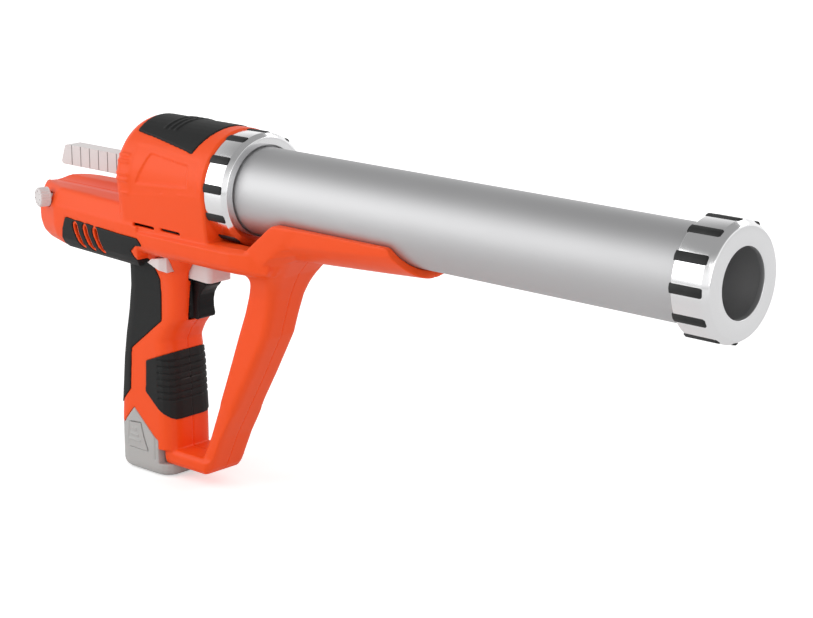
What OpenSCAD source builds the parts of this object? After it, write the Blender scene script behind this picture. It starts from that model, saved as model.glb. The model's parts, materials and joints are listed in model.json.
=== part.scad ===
// Battery caulking tool for 600 ml foil packs: aluminium barrel, moulded clamshell housing
// with a guarded handle, and a toothed push rod driven by a geared motor.
// Origin: centre of the nozzle hole at the front face of the front ring. +X points forward.

/* [Barrel] */
// Outer diameter of the aluminium barrel
barrel_od = 56; // [52:0.5:60]
// Wall of the barrel
barrel_wall = 1.8; // [1.2:0.1:2.6]
// Barrel length that shows between the two rings
barrel_reach = 338; // [220:1:420]
// Radial gap between the barrel and the parts that it turns in
barrel_gap = 0.35; // [0.2:0.05:0.5]

/* [Rings] */
// Outer diameter of the front ring
front_ring_d = 68; // [66:0.5:72]
// Length of the front ring
front_ring_len = 24; // [20:0.5:30]
// Nozzle hole in the front ring
nozzle_d = 40.3; // [32:0.1:44]
// Outer diameter of the rear ring
rear_ring_d = 73.7; // [71:0.1:75]
// Length of the rear ring
rear_ring_len = 19; // [16:0.5:24]
// Rubber inserts around each ring
insert_count = 12; // [8:1:14]
// Width of one insert
insert_w = 5.6; // [4:0.1:7]
// Depth of the pocket under one insert
insert_deep = 1.6; // [1:0.1:2]

/* [Push rod] */
// Height of the rod
rod_h = 14; // [12:0.5:16]
// Width of the rod
rod_w = 12; // [10:0.5:14]
// Length of the rod
rod_len = 466; // [430:1:480]
// How far the rod stands out behind the dome in the pose shown
rod_out = 90; // [60:1:120]
// Forward travel left in the pose shown
rod_forward = 42; // [20:1:50]
// Rearward travel from the pose shown
rod_back = 250; // [100:1:255]
// Gap between the rod and its guides
rod_gap = 0.3; // [0.2:0.05:0.5]
// Thickness of the piston
piston_len = 14; // [10:0.5:20]
// Radial gap between the piston and the barrel
piston_gap = 0.6; // [0.4:0.1:1.2]

/* [Drive] */
// Module of the rack and its pinion
rack_module = 1.5; // [1.25:0.05:1.6]
// Teeth on the drive pinion
drive_teeth = 14; // [13:1:15]
// Module of the two spur gears
gear_module = 1.25; // [1.15:0.05:1.3]
// Teeth on the large spur gear
spur_teeth = 36; // [34:1:37]
// Teeth on the small spur pinion
lay_teeth = 14; // [13:1:16]
// Module of the bevel gears
bevel_module = 1; // [0.85:0.05:1.05]
// Teeth on the bevel gear
bevel_gear_teeth = 24; // [22:1:26]
// Teeth on the bevel pinion
bevel_pinion_teeth = 12; // [11:1:13]
// Width of the gear faces
gear_face = 7; // [5:0.5:8]
// Share of the tooth pitch left free as backlash
backlash = 0.09; // [0.05:0.01:0.15]
// Diameter of the two gear shafts
shaft_d = 8; // [6:0.5:9]
// Radial running gap of the shafts in their bushes
shaft_gap = 0.04; // [0.02:0.01:0.08]
// Diameter of the motor and gearbox
motor_d = 33; // [28:0.5:34]
// Length of the motor
motor_len = 44; // [36:1:48]
// Length of the planetary gearbox
gearbox_len = 26; // [20:1:30]

/* [Housing] */
// Wall of the moulded housing
wall = 2.8; // [2:0.1:3.5]
// Radius of the dome around the push rod
dome_r = 38; // [37:0.1:40]
// Length of the dome
dome_len = 86; // [82:0.5:92]
// Distance from the dome's front to the rear end of the tail
tail_reach = 196; // [190:1:206]
// Half width of the housing at its shoulder rail
rail_w = 37.5; // [36:0.5:39]
// Depth of the recessed side panel
panel_deep = 1; // [0.5:0.1:1.4]
// Depth that the rubber covers are let into the housing
skin_deep = 1.4; // [1:0.1:1.8]
// Height that the rubber covers stand proud
skin_proud = 0.6; // [0.2:0.1:1]

/* [Handle] */
// Width of the handle
handle_w = 41; // [36:0.5:44]
// Depth of the handle, front to back
handle_d = 55; // [50:0.5:58]
// Height of the foot's lower face below the barrel axis
foot_z = 198; // [190:1:206]
// Width of the guard strut
strut_w = 30; // [24:0.5:34]
// Length of the cradle under the barrel
cradle_len = 122; // [90:1:150]

/* [Controls] */
// Width of the trigger
trigger_w = 18; // [14:0.5:20]
// Travel of the trigger
trigger_travel = 7; // [4:0.5:8]
// Width of the rod release button
release_w = 21; // [18:0.5:23]
// Travel of the rod release button
release_travel = 5; // [3:0.5:6]
// Travel of the lock-off button
lock_travel = 4; // [2:0.5:5]
// Diameter of the speed dial
dial_d = 13.4; // [11:0.1:15]
// Length of the speed dial
dial_len = 7.6; // [6:0.1:9]
// Gap between a moving control and the housing
control_gap = 0.35; // [0.25:0.05:0.5]

/* [Battery] */
// Depth of the battery below the foot's lower face
battery_drop = 10; // [6:0.5:14]
// Width of the cell tower inside the handle
tower_w = 33; // [26:0.5:34]
// Height of the top of the cell tower below the barrel axis
tower_z = 128; // [124:1:140]
// Gap around the battery
battery_gap = 0.35; // [0.3:0.05:0.6]

/* [Hidden] */

fn_fine = 72;
fn_hull = 32;
seat_gap = 0.3;
skin_gap = 0.05;
// How far a boss or tab runs into the body that it is part of
lap = 0.5;
barrel_r = barrel_od/2;

// Stations along the barrel axis
hx = -(front_ring_len + barrel_reach + rear_ring_len);
rear_ring_x = hx + seat_gap;
rear_ring_front = hx + rear_ring_len;
lip_len = 3.5;
socket_front = rear_ring_front - lip_len - 4;
tube_rear = socket_front + seat_gap;
front_lip = 3.5;
tube_front = -front_lip - seat_gap;
lip_r = barrel_r + 1.4;
thread_r = 32;
flange_r = 34.4;

// Rod, piston and rack
rod_rear = hx - dome_len - rod_out;
rod_front = rod_rear + rod_len;
piston_r = barrel_r - barrel_wall - piston_gap;
rack_addendum = 0.9*rack_module;
pitch = PI*rack_module;
rack_line = -rod_h/2 + rack_addendum;

rack_walls = 1.8;
rack_half = pitch/4*(1 - backlash);
groove_w = 0.9;
groove_deep = 0.4;
plain_front = 30;
seat_len = 8.5;
stud_r = 3;
stud_out = 5.6;
piston_web = 5;

// Tooth form: pressure angle, and addendum and dedendum as shares of the module
pressure = 20;
gear_add = 0.95;
gear_ded = 1.2;

// Gear shafts: the drive shaft under the rack and the lay shaft below and behind it
drive_r = rack_module*drive_teeth/2;
drive_back = 49;
drive_x = hx - drive_back;
drive_z = rack_line - drive_r;
rack_spare = 12;
rack_front = drive_x + rod_back + rack_spare;
spur_r = gear_module*spur_teeth/2;
lay_r = gear_module*lay_teeth/2;
lay_z = -41;
lay_x = drive_x - sqrt(pow(spur_r + lay_r, 2) - pow(drive_z - lay_z, 2));
lay_angle = atan2(lay_z - drive_z, lay_x - drive_x);
bevel_gear_r = bevel_module*bevel_gear_teeth/2;
bevel_pinion_r = bevel_module*bevel_pinion_teeth/2;
bevel_face = 4.5;
spur_y = rod_w/2 + 3;
plate_in = max(17, spur_y + gear_face + 1);
plate_out = plate_in + 3.5;
plate_top = 13;
bush_r = shaft_d/2 + 1.6;
flange_t = 0.6;
gearbox_front = lay_x - bevel_gear_r - 7;
motor_front = gearbox_front - gearbox_len;
nose_r = 6;

// Housing stations, measured back from the front of the dome
tail_top = -18.5;
tail_bottom = -62;
trough_r = 30.3;
trough_z = tail_top + 28;
rail_z = -31.5;
arm_bottom = -50;
front_wall = 4;
handle_x = 56;
handle_rear = -handle_x - handle_d;
foot_top = -foot_z + 11;
battery_front = -69;

// Plan of the tail at its widest level, anticlockwise from the rear corner on the dial side
tail_plan = [[-tail_reach, -6], [4 - tail_reach, -15], [11 - tail_reach, -21],
    [36 - tail_reach, -29.5], [49 - tail_reach, -30.3], [-117, rail_w*-0.885], [-83, rail_w*-0.96],
    [-66, rail_w*-0.975], [-66, rail_w*0.975], [-83, rail_w*0.96], [-117, rail_w*0.885],
    [49 - tail_reach, 30.8], [22 - tail_reach, 29.5], [11 - tail_reach, 26.5],
    [3 - tail_reach, 20], [-tail_reach, 10]];
// Each level of the tail is its height and how far its plan is drawn in
tail_levels = [[tail_top, 7], [tail_top - 1.2, 5], [-30.5, 0], [-45, 0.4], [-52, 2.4],
    [-57, 6.4], [-60.5, 11.5], [tail_bottom, 16]];

// Plan of the lower body and of the arm that runs forward under the rear ring
arm_plan = [[-100, rail_w*-0.92], [-83, rail_w*-0.96], [-41, rail_w*-0.995], [0, -rail_w],
    [22, rail_w*-0.985], [36, rail_w*-0.925], [50, rail_w*-0.82], [50, rail_w*0.82],
    [36, rail_w*0.925], [22, rail_w*0.985], [0, rail_w], [-41, rail_w*0.995],
    [-83, rail_w*0.96], [-100, rail_w*0.92]];
arm_levels = [[rail_z, 3.4], [rail_z - 3.2, 0], [-43, 0.4], [-46.5, 2.6], [-49, 6.5],
    [arm_bottom, 11]];

// Handle sections: height, rear, front, half width and corner radius
hw = handle_w/2;
handle_sections = [
    [-40, handle_rear + 10, 29 - handle_x, hw + 9.5, 14],
    [-52, handle_rear + 12, 19 - handle_x, hw + 3.5, 13],
    [-62, handle_rear + 12.5, 13 - handle_x, hw, 12],
    [-78, handle_rear + 11.5, 11 - handle_x, hw - 1.5, 11],
    [-95, handle_rear + 9, 9 - handle_x, hw - 1.5, 11],
    [-104, handle_rear + 7.5, 1 - handle_x, hw - 1.2, 11],
    [-112, handle_rear + 6, -3.5 - handle_x, hw - 0.9, 11],
    [-130, handle_rear + 3.5, -1.5 - handle_x, hw - 0.5, 11],
    [28 - foot_z, handle_rear, -handle_x, hw, 11],
    [10 - foot_z, handle_rear, -handle_x, hw, 11]];

// Strut sections: height, rear, front, half width and corner radius
sw = strut_w/2;
strut_sections = [
    [-36, 29, 60, sw + 10, 7],
    [-46, 24, 51, sw + 5.5, 6.5],
    [-56, 19, 42.5, sw + 2.5, 6],
    [-66, 15.5, 35.5, sw + 0.7, 5.5],
    [-80, 10.5, 28.5, sw, 5],
    [-124, -6.3, 11.3, sw, 5],
    [28 - foot_z, -24.5, -9, sw, 5],
    [12 - foot_z, -32, -15.5, sw, 5],
    [4 - foot_z, -40, -19, sw, 5],
    [-foot_z, -40, -25, sw - 2.5, 4]];

// Side outline of the cradle: rear slope, rim and the swoop at its front end
cradle_front = 56 + cradle_len;
cradle_side = [[30, -60], [30, -37], [35, -32.5], [53, -14.6], [56, -12.7], [59, -12.3],
    [cradle_front - 29, -12.1], [cradle_front - 26, -13.8], [cradle_front - 24, -19],
    [cradle_front - 20, -23.5], [cradle_front - 13, -26.8], [cradle_front - 4, -28.6],
    [cradle_front - 1, -30.2], [cradle_front, -33], [cradle_front, -60]];

// Regions of the rubber covers
cover_plan = [for (p = [[-76.5, 22.6], [-77.8, 12], [-78.2, 0], [-77.8, -12], [-76.5, -22.6],
    [-17.4, -29.9], [-14.5, -21.9], [-12.2, -13.2], [-10.8, 0], [-12.2, 13.2],
    [-14.5, 21.9], [-17.4, 29.9]]) [p[0]*dome_len/86, p[1]*dome_r/38]];
rear_grip_side = [[-146, -36.5], [-66, -38.5], [-61.5, -43], [-68, -43.5], [-74, -48],
    [-63, -68.5], [-63.8, -97], [-94, -121], [-96, -150.5], [-108, -163], [-130, -163],
    [-130, -80], [-166, -80]];
front_grip_side = [[-79, -127.3], [-54, -117.2], [-44, -117.2], [-44, -165.8], [-57, -165.6],
    [-66.5, -160], [-80, -149]];
panel_side = [[-69, 23.5], [-8.5, 20.6], [-6, -1], [-70, -8.5]];
panel_inner_side = [[-54.5, 19.5], [-16.5, 16], [-15, 2.3], [-65, -1.2]];
// Edge between the handle and the battery, drawn back from the handle by g
function battery_side(g) = [[-125, 22 - foot_z - g], [-104.5 + g/3, 22 - foot_z - g],
    [-93, 35.5 - foot_z - 1.4*g], [-72 - g, 17.5 - foot_z - g], [battery_front - g, 16 - foot_z],
    [battery_front - g, -foot_z - g], [-50, -foot_z - g], [-50, -20 - foot_z], [-125, -20 - foot_z]];
latch_side = [[-99, 6.6 - foot_z], [-79.7, 6.4 - foot_z], [-83.6, 15.3 - foot_z],
    [-86.3, 25 - foot_z], [-97.5, 24 - foot_z]];

// Dial on the rear right facet: place of its face and the way it points
facet_angle = atan2(8.5, 25);
dial_face = [24 - tail_reach, -33, -26.2];
dial_shaft_r = 2;
pot_front = -dial_len - wall - 0.8;

// Screws through the left half: station, height and depth of the head's seat
screw_places = [[-16, 27, 14], [-74, 26, 14], [7.5 - tail_reach, -38, 9], [-93, -66, 10],
    [-97.5, -107, 9], [-43, 5.5 - foot_z, 8], [-4, -140, 8], [42, -44, 12]];
screw_head_r = 3;
screw_r = 1.5;

// Trigger and release button outlines, front to the right
trigger_top = -67.6;
block_front = -47;
finger_inset = 1.8;
trigger_side = [[-64, trigger_top - 1], [-50, trigger_top], [-32, trigger_top - 1.6],
    [-33, trigger_top - 3.4], [-36, trigger_top - 6], [-38.6, trigger_top - 10],
    [-39.8, trigger_top - 15], [-39.6, trigger_top - 20], [-38.6, trigger_top - 24],
    [-39.2, trigger_top - 26], [-41.5, trigger_top - 27], [-64, trigger_top - 25]];
release_rear = -49;
release_front = -24;
release_corner = 5;
release_side = [[release_rear, arm_bottom - 0.5], [-27, arm_bottom - 0.5], [-24.8, arm_bottom - 1.4],
    [release_front, arm_bottom - 4], [release_front, trigger_top + 2.6],
    [release_front - 0.8, trigger_top + 0.6],
    [-27, trigger_top + 0.4], [release_rear, trigger_top + 1.4]];
lock_side = [[-65.8, -55.8], [-62, -52.8], [-50.2, -50.7], [-50, -61.2]];
lock_left = hw + 3.5;
lock_right = -lock_left - lock_travel;
lock_bar = [-66, release_rear - release_travel - 3.5, -64, -56.2];
release_rib_x = -69;
spring_wire = 0.7;
release_spring_r = 2;
release_spring_y = 5.5;
release_spring_z = -53.6;
trigger_spring_r = 3;
trigger_spring_z = trigger_top - 20;
trigger_pocket = 11;
switch_x = -64 - trigger_travel - 1;

// Cell tower of the battery
tower_rear = handle_rear + wall + 5 + battery_gap;
tower_front = battery_front - battery_gap - 0.3;

// Front of the battery's base, under the foot
battery_nose = handle_rear + 51;

// Three leaning vent slots on each side: top and bottom of each slot's centre line
vent_pitch = 11.4;
vent_r = 1.5;
vent_rim_r = 3.1;
vents = [for (i = [0:2]) [-134.8 + vent_pitch*i, -40.6, -131 + vent_pitch*i, -53.5]];

// Distance from each ring's front face to the round ends of its inserts
front_insert_margin = 5;
rear_insert_margin = 4;

// Lock-off: inner faces of its wedges beside the release button, and of the step that its bar joins
lock_inner = release_w/2 + lock_travel + 2*control_gap;
lock_step = lock_inner - 2.7;
// Length and depth of the bevel at the front of each wedge
lock_bevel = [4.6, 3.4];

function unit(v) = v/norm(v);
// Draw a convex anticlockwise outline in by d, or out where d is negative
function inset(p, d) = [for (i = [0:len(p) - 1])
    let (a = unit(p[i] - p[(i + len(p) - 1) % len(p)]), b = unit(p[(i + 1) % len(p)] - p[i]),
        na = [a[1], -a[0]], nb = [b[1], -b[0]])
    p[i] - d*(na + nb)/(1 + na*nb)];
function arc(cx, cy, r, a0, a1, n = 4) =
    [for (i = [0:n]) let (a = a0 + (a1 - a0)*i/n) [cx + r*cos(a), cy + r*sin(a)]];
// Rounded rectangle from x0 to x1, as wide as w on each side of the axis
function rounded(x0, x1, w, r, n = 4) = concat(
    arc(x1 - r, w - r, r, 0, 90, n), arc(x0 + r, w - r, r, 90, 180, n),
    arc(x0 + r, r - w, r, 180, 270, n), arc(x1 - r, r - w, r, 270, 360, n));
function at_z(p, z) = [for (q = p) [q[0], q[1], z]];
function at_x(p, x) = [for (q = p) [x, q[0], q[1]]];

// Solid through a row of convex sections
module loft(sections) {
    for (i = [0:len(sections) - 2]) {
        points = concat(sections[i], sections[i + 1]);
        hull() polyhedron(points = points, faces = [[for (k = [0:len(points) - 1]) k]]);
    }
}
// Plate with its outline in the XZ plane, between two Y values
module side_plate(outline, y0, y1) {
    translate([0, y1, 0]) rotate([90, 0, 0]) linear_extrude(y1 - y0) polygon(outline);
}
module x_cylinder(r, x0, x1, fn = fn_fine) {
    translate([x0, 0, 0]) rotate([0, 90, 0]) cylinder(r = r, h = x1 - x0, $fn = fn);
}
module y_cylinder(r, x, z, y0, y1, fn = fn_fine) {
    translate([x, y1, z]) rotate([90, 0, 0]) cylinder(r = r, h = y1 - y0, $fn = fn);
}
// Revolve about the barrel axis of an outline of [x, radius] points
module x_revolve(outline) {
    rotate([0, 90, 0]) rotate_extrude($fn = fn_fine) polygon([for (p = outline) [p[1], p[0]]]);
}

// Forms of the housing, each drawn in by t
module dome_form(t) {
    section = concat([[-dome_r*0.9, -40], [dome_r*0.9, -40], [dome_r*0.91, -32.6]],
        arc(0, 0, dome_r, -9, 189, 28), [[-dome_r*0.91, -32.6]]);
    loft([at_x(inset(section, t + 1.2), min(0, -t)), at_x(inset(section, t), -1.2 - max(0, t)),
        at_x(inset(section, t), 6 - dome_len + t/2), at_x(inset(section, t + 1.8), 1.8 - dome_len + t),
        at_x(inset(section, t + 6), t - dome_len)]);
}
module tail_form(t) {
    first = tail_levels[0];
    last = tail_levels[len(tail_levels) - 1];
    loft([for (l = tail_levels)
        at_z(inset(tail_plan, t + l[1]), min(first[0] - t, max(last[0] + t, l[0])))]);
}
module arm_form(t) {
    loft([for (l = arm_levels) at_z(inset(arm_plan, t + l[1]), max(arm_bottom + t, l[0]))]);
}
module handle_form(t) {
    loft([for (s = handle_sections)
        at_z(rounded(s[1] + t, s[2] - t, s[3] - t, s[4] - t), s[0])]);
}
module strut_form() {
    loft([for (s = strut_sections) at_z(rounded(s[1], s[2], s[3], s[4]), s[0])]);
}
module foot_form() {
    rear = battery_front;
    loft([at_z(rounded(rear, -24, sw, 4), -foot_z), at_z(rounded(rear, -20, sw + 2, 5), 2.5 - foot_z),
        at_z(rounded(rear, -17, sw + 2.2, 5), foot_top - 2.5),
        at_z(rounded(rear, -18, sw, 4), foot_top)]);
}
module cradle_form() {
    rear_r = barrel_r + 13;
    front_r = barrel_r + 4.4;
    intersection() {
        loft([for (s = [[28, rear_r, 2.8], [56 + cradle_len*0.6, rear_r*0.35 + front_r*0.65, 2],
            [cradle_front + 1, front_r, 1.2]])
            at_x([for (a = [-172:8:-8]) [max(-barrel_r - s[2], min(barrel_r + s[2], s[1]*cos(a))),
                s[1]*sin(a)]], s[0])]);
        side_plate(cradle_side, -60, 60);
    }
}
module form(t) {
    tail_form(t);
    arm_form(t);
    handle_form(t);
}
// Place with +Z along the dial's axis and the origin at the centre of its face
module at_dial() {
    translate(dial_face) rotate([90, 0, -facet_angle]) children();
}
module half(side) {
    translate([-400, side < 0 ? -80 : 0, -300]) cube([700, 80, 400]);
}
// Slot with round ends between two points of the XZ plane, cut across the housing
module side_slot(a, b, r, y0, y1) {
    hull() for (p = [a, b]) y_cylinder(r, p[0], p[1], y0, y1, 16);
}

module vent_shapes(r, side) {
    for (v = vents)
        side_slot([v[0], v[1]], [v[2], v[3]], r, side < 0 ? -60 : 20, side < 0 ? -20 : 60);
}
module cavities() {
    intersection() {
        union() {
            dome_form(wall);
            arm_form(wall);
        }
        translate([-400, -80, -300]) cube([400 - front_wall, 160, 400]);
    }
    difference() {
        tail_form(wall);
        translate([0, 0, trough_z]) x_cylinder(trough_r + wall, -tail_reach - 10, -dome_len);
    }
    handle_form(wall);
    side_plate(battery_side(0), -60, 60);
}
module openings() {
    // Barrel side: socket neck, rear ring and barrel
    x_cylinder(thread_r + 0.4, -20, 1);
    x_cylinder(rear_ring_d/2 + 1.4, 0, rear_ring_len + 15);
    x_cylinder(barrel_r + barrel_gap, 0, cradle_front + 5);
    // Rod passage in the rear wall of the dome and the trough over the tail
    translate([-dome_len - 5, -rod_w/2 - 2.6, -rod_h/2 - 2.6]) cube([12, rod_w + 5.2, rod_h + 5.2]);
    translate([0, 0, trough_z]) x_cylinder(trough_r, -tail_reach - 10, -dome_len);
    // Trigger and release button
    translate([-70, -trigger_w/2 - control_gap, trigger_top - 28])
        cube([60, trigger_w + 2*control_gap, 30]);
    translate([-70, -release_w/2 - control_gap, trigger_top - 0.4])
        cube([60, release_w + 2*control_gap, arm_bottom - trigger_top + 0.4]);
    side_plate(inset([for (i = [3:-1:0]) lock_side[i]], -control_gap), -60, 60);
    // Dial and its shaft
    at_dial() {
        translate([0, 0, -dial_len - 1]) cylinder(r = dial_d/2 + control_gap, h = 30, $fn = fn_hull);
        translate([0, 0, -dial_len - wall - 5]) cylinder(r = dial_shaft_r + 0.4, h = 30, $fn = 24);
        translate([-5.8, -7.3, pot_front - 6.3]) cube([11.6, 11.1, 6.6]);
    }
    // Slits over the rail
    for (s = [[-69.5, -51], [-43.5, -26]]) for (side = [-1, 1])
        side_slot([s[0], -29.2], [s[1], -29.7], 0.9, side < 0 ? -60 : 25, side < 0 ? -25 : 60);
    // Screw seats from the left and pilot holes on the right
    for (s = screw_places) {
        y_cylinder(screw_head_r + 0.4, s[0], s[1], s[2], 60, 18);
        y_cylinder(screw_r + 0.2, s[0], s[1], -1, 60, 16);
        y_cylinder(screw_r, s[0], s[1], -13, 1, 16);
    }
}
module bosses(side) {
    for (s = screw_places)
        if (side > 0) y_cylinder(screw_head_r + 1.8, s[0], s[1], 0, 60, 18);
        else y_cylinder(screw_r + 2.2, s[0], s[1], -60, 0, 16);
    // Rib behind the release spring
    if (side > 0) translate([release_rib_x - 2, 1, -60]) cube([2, 60, 8.2]);
}
module outer_form() {
    dome_form(0);
    tail_form(0);
    arm_form(0);
    handle_form(0);
    strut_form();
    foot_form();
    cradle_form();
}
module rubber_beds() {
    difference() {
        translate([0, 0, 15]) linear_extrude(40) polygon(cover_plan);
        dome_form(skin_deep);
    }
    difference() {
        union() {
            side_plate(rear_grip_side, -60, 60);
            side_plate(front_grip_side, -60, 60);
        }
        form(skin_deep);
        for (side = [-1, 1]) vent_shapes(vent_rim_r, side);
    }
}
module panel_recess() {
    difference() {
        for (side = [-1, 1]) side_plate(panel_side, side < 0 ? -60 : 20, side < 0 ? -20 : 60);
        dome_form(panel_deep*0.5);
    }
    difference() {
        for (side = [-1, 1]) side_plate(panel_inner_side, side < 0 ? -60 : 20, side < 0 ? -20 : 60);
        dome_form(panel_deep*1.5);
    }
}
module housing_half(side) {
    intersection() {
        difference() {
            outer_form();
            difference() {
                cavities();
                bosses(side);
            }
            openings();
            rubber_beds();
            panel_recess();
            for (s = [-1, 1]) vent_shapes(vent_r, s);
        }
        half(side);
    }
}
module housing_right() {
    color([0.96, 0.33, 0.14]) translate([hx, 0, 0]) housing_half(-1);
}
module housing_left() {
    color([0.96, 0.33, 0.14]) translate([hx, 0, 0]) housing_half(1);
}

// Teeth: half angle of an involute tooth at radius rho, for pitch radius r and n teeth
function involute(a) = tan(a)*180/PI - a;
function tooth_half(r, n, rho) =
    90/n*(1 - backlash) + involute(pressure) - involute(acos(min(1, r*cos(pressure)/rho)));
// Closed outline of n teeth from the [radius, half angle] pairs of one flank, root first
function toothed(n, flank, phase) = [for (k = [0:n - 1]) let (c = phase + 360*k/n)
    for (i = [0:2*len(flank) - 1])
        let (q = i < len(flank) ? i : 2*len(flank) - 1 - i, s = i < len(flank) ? -1 : 1)
        flank[q][0]*[cos(c + s*flank[q][1]), sin(c + s*flank[q][1])]];
function spur_flank(m, n, add) = let (r = m*n/2)
    [for (h = [-gear_ded, -0.45, 0.25, add]) [r + h*m, tooth_half(r, n, r + h*m)]];
function bevel_flank(m, n, other) = let (r = m*n/2, slant = sqrt(r*r + other*other),
    d = atan(r/other), v = r/cos(d))
    [for (h = [-gear_ded, -0.3, gear_add]) [other*tan(d + atan(h*m/slant)),
        tooth_half(v, n/cos(d), v + h*m)*(v + h*m)/(r + h*m*cos(d))]];
module bevel_teeth(m, n, other, phase) {
    share = bevel_face/sqrt(pow(m*n/2, 2) + other*other);
    linear_extrude(height = other*share, scale = 1 - share)
        polygon(toothed(n, bevel_flank(m, n, other), phase));
}
module gear(m, n, add, x, z, y0, y1, phase) {
    side_plate([for (p = toothed(n, spur_flank(m, n, add), phase)) p + [x, z]], y0, y1);
}
// Coil along X from x0 to x1
module coil(r, x0, x1, turns) {
    rings = 8*turns;
    sides = 5;
    points = [for (i = [0:rings]) for (j = [0:sides - 1])
        let (a = 360*turns*i/rings, b = 360*j/sides)
        [x0 + (x1 - x0)*i/rings + spring_wire/2*sin(b), (r + spring_wire/2*cos(b))*cos(a),
            (r + spring_wire/2*cos(b))*sin(a)]];
    walls = [for (i = [0:rings - 1]) for (j = [0:sides - 1])
        let (a = i*sides + j, b = i*sides + (j + 1) % sides)
        each [[a, b, b + sides], [a, b + sides, a + sides]]];
    last = rings*sides;
    caps = [for (j = [1:sides - 2]) each [[0, j + 1, j], [last, last + j, last + j + 1]]];
    polyhedron(points = points, faces = concat(walls, caps));
}

module top_cover() {
    color([0.17, 0.18, 0.18]) translate([hx, 0, 0]) intersection() {
        difference() {
            union() {
                dome_form(-skin_proud);
                intersection() {
                    dome_form(-skin_proud - 0.6);
                    for (i = [0:2]) translate([-0.65*dome_len + 5*i, -19, 20]) cube([2, 38, 30]);
                }
            }
            dome_form(skin_deep - skin_gap);
        }
        translate([0, 0, 15 + skin_gap]) linear_extrude(40)
            polygon(inset(cover_plan, skin_gap));
    }
}
module grip(side, outline, ribs) {
    color([0.17, 0.18, 0.18]) translate([hx, 0, 0]) intersection() {
        difference() {
            form(-skin_proud);
            form(skin_deep - skin_gap);
            vent_shapes(vent_rim_r + skin_gap, side);
            for (i = [0:ribs - 1])
                translate([-68, -40, -125.5 - 4.5*i]) cube([20, 80, 1.3]);
            side_plate(battery_side(0), -60, 60);
        }
        side_plate(outline, -60, 60);
        half(side);
    }
}
module rear_grip_right() { grip(-1, rear_grip_side, 0); }
module rear_grip_left() { grip(1, rear_grip_side, 0); }
module front_grip_right() { grip(-1, front_grip_side, 7); }
module front_grip_left() { grip(1, front_grip_side, 7); }

module housing_screws() {
    color([0.2, 0.2, 0.21]) translate([hx, 0, 0]) for (s = screw_places) {
        difference() {
            y_cylinder(screw_head_r, s[0], s[1], s[2], s[2] + 2.4, 32);
            y_cylinder(1.2, s[0], s[1], s[2] + 1.2, s[2] + 3, 6);
        }
        y_cylinder(screw_r - 0.1, s[0], s[1], -11, s[2] + 1, 32);
    }
}

// Rubber insert outline on a ring, in the plane that its radius crosses: x along the barrel
module insert_outline(rear, front, w) {
    translate([rear, -w/2]) square([front - rear - w/2, w]);
    translate([front - w/2, 0]) circle(d = w, $fn = 24);
}
module insert_pockets(r, rear, front) {
    for (i = [0:insert_count - 1]) rotate([360*i/insert_count, 0, 0])
        translate([0, 0, r - insert_deep]) linear_extrude(insert_deep + 5)
            insert_outline(rear - 5, front, insert_w);
}
module inserts(r, rear, front) {
    intersection() {
        for (i = [0:insert_count - 1]) rotate([360*i/insert_count, 0, 0])
            translate([0, 0, r - insert_deep + skin_gap]) linear_extrude(insert_deep + 5)
                insert_outline(rear, front - skin_gap, insert_w - 2*skin_gap);
        x_cylinder(r + 0.5, rear - 1, front + 1, 4*fn_fine);
    }
}
module barrel_tube() {
    flange = lip_len - 0.1;
    color([0.8, 0.81, 0.82]) x_revolve([[tube_rear, barrel_r - barrel_wall],
        [tube_front, barrel_r - barrel_wall], [tube_front, barrel_r],
        [tube_rear + flange, barrel_r], [tube_rear + flange, thread_r - 0.5],
        [tube_rear, thread_r - 0.5]]);
}
module front_ring() {
    rear = -front_ring_len;
    r = front_ring_d/2;
    color([0.85, 0.86, 0.87]) difference() {
        x_revolve([[0, nozzle_d/2], [0, r - 2.5], [-4, r], [rear + 1, r], [rear, r - 1],
            [rear, barrel_r + seat_gap], [-front_lip, barrel_r + seat_gap], [-front_lip, nozzle_d/2]]);
        insert_pockets(r, rear, -front_insert_margin);
    }
}
module front_ring_inserts() {
    color([0.12, 0.12, 0.13]) inserts(front_ring_d/2, -front_ring_len, -front_insert_margin);
}
module rear_ring() {
    r = rear_ring_d/2;
    f = rear_ring_front;
    color([0.85, 0.86, 0.87]) difference() {
        x_revolve([[rear_ring_x, thread_r + seat_gap], [f - lip_len, thread_r + seat_gap],
            [f - lip_len, lip_r], [f, lip_r], [f, r - 2.5], [f - 3, r], [rear_ring_x + 0.6, r],
            [rear_ring_x, r - 0.6]]);
        insert_pockets(r, rear_ring_x, f - rear_insert_margin);
    }
}
module rear_ring_inserts() {
    color([0.12, 0.12, 0.13]) inserts(rear_ring_d/2, rear_ring_x,
        rear_ring_front - rear_insert_margin);
}
module rod_window(gap, x0, x1) {
    translate([x0, -rod_w/2 - gap, -rod_h/2 - gap]) cube([x1 - x0, rod_w + 2*gap, rod_h + 2*gap]);
}
module barrel_socket() {
    flange_x = hx - 2*front_wall;
    color([0.3, 0.3, 0.32]) difference() {
        x_revolve([[flange_x, 0], [flange_x, flange_r], [hx - front_wall, flange_r],
            [hx - front_wall, thread_r], [socket_front, thread_r], [socket_front, 24],
            [hx + 3, 24], [hx + 3, 0]]);
        rod_window(rod_gap, flange_x - 1, socket_front);
    }
}

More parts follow.
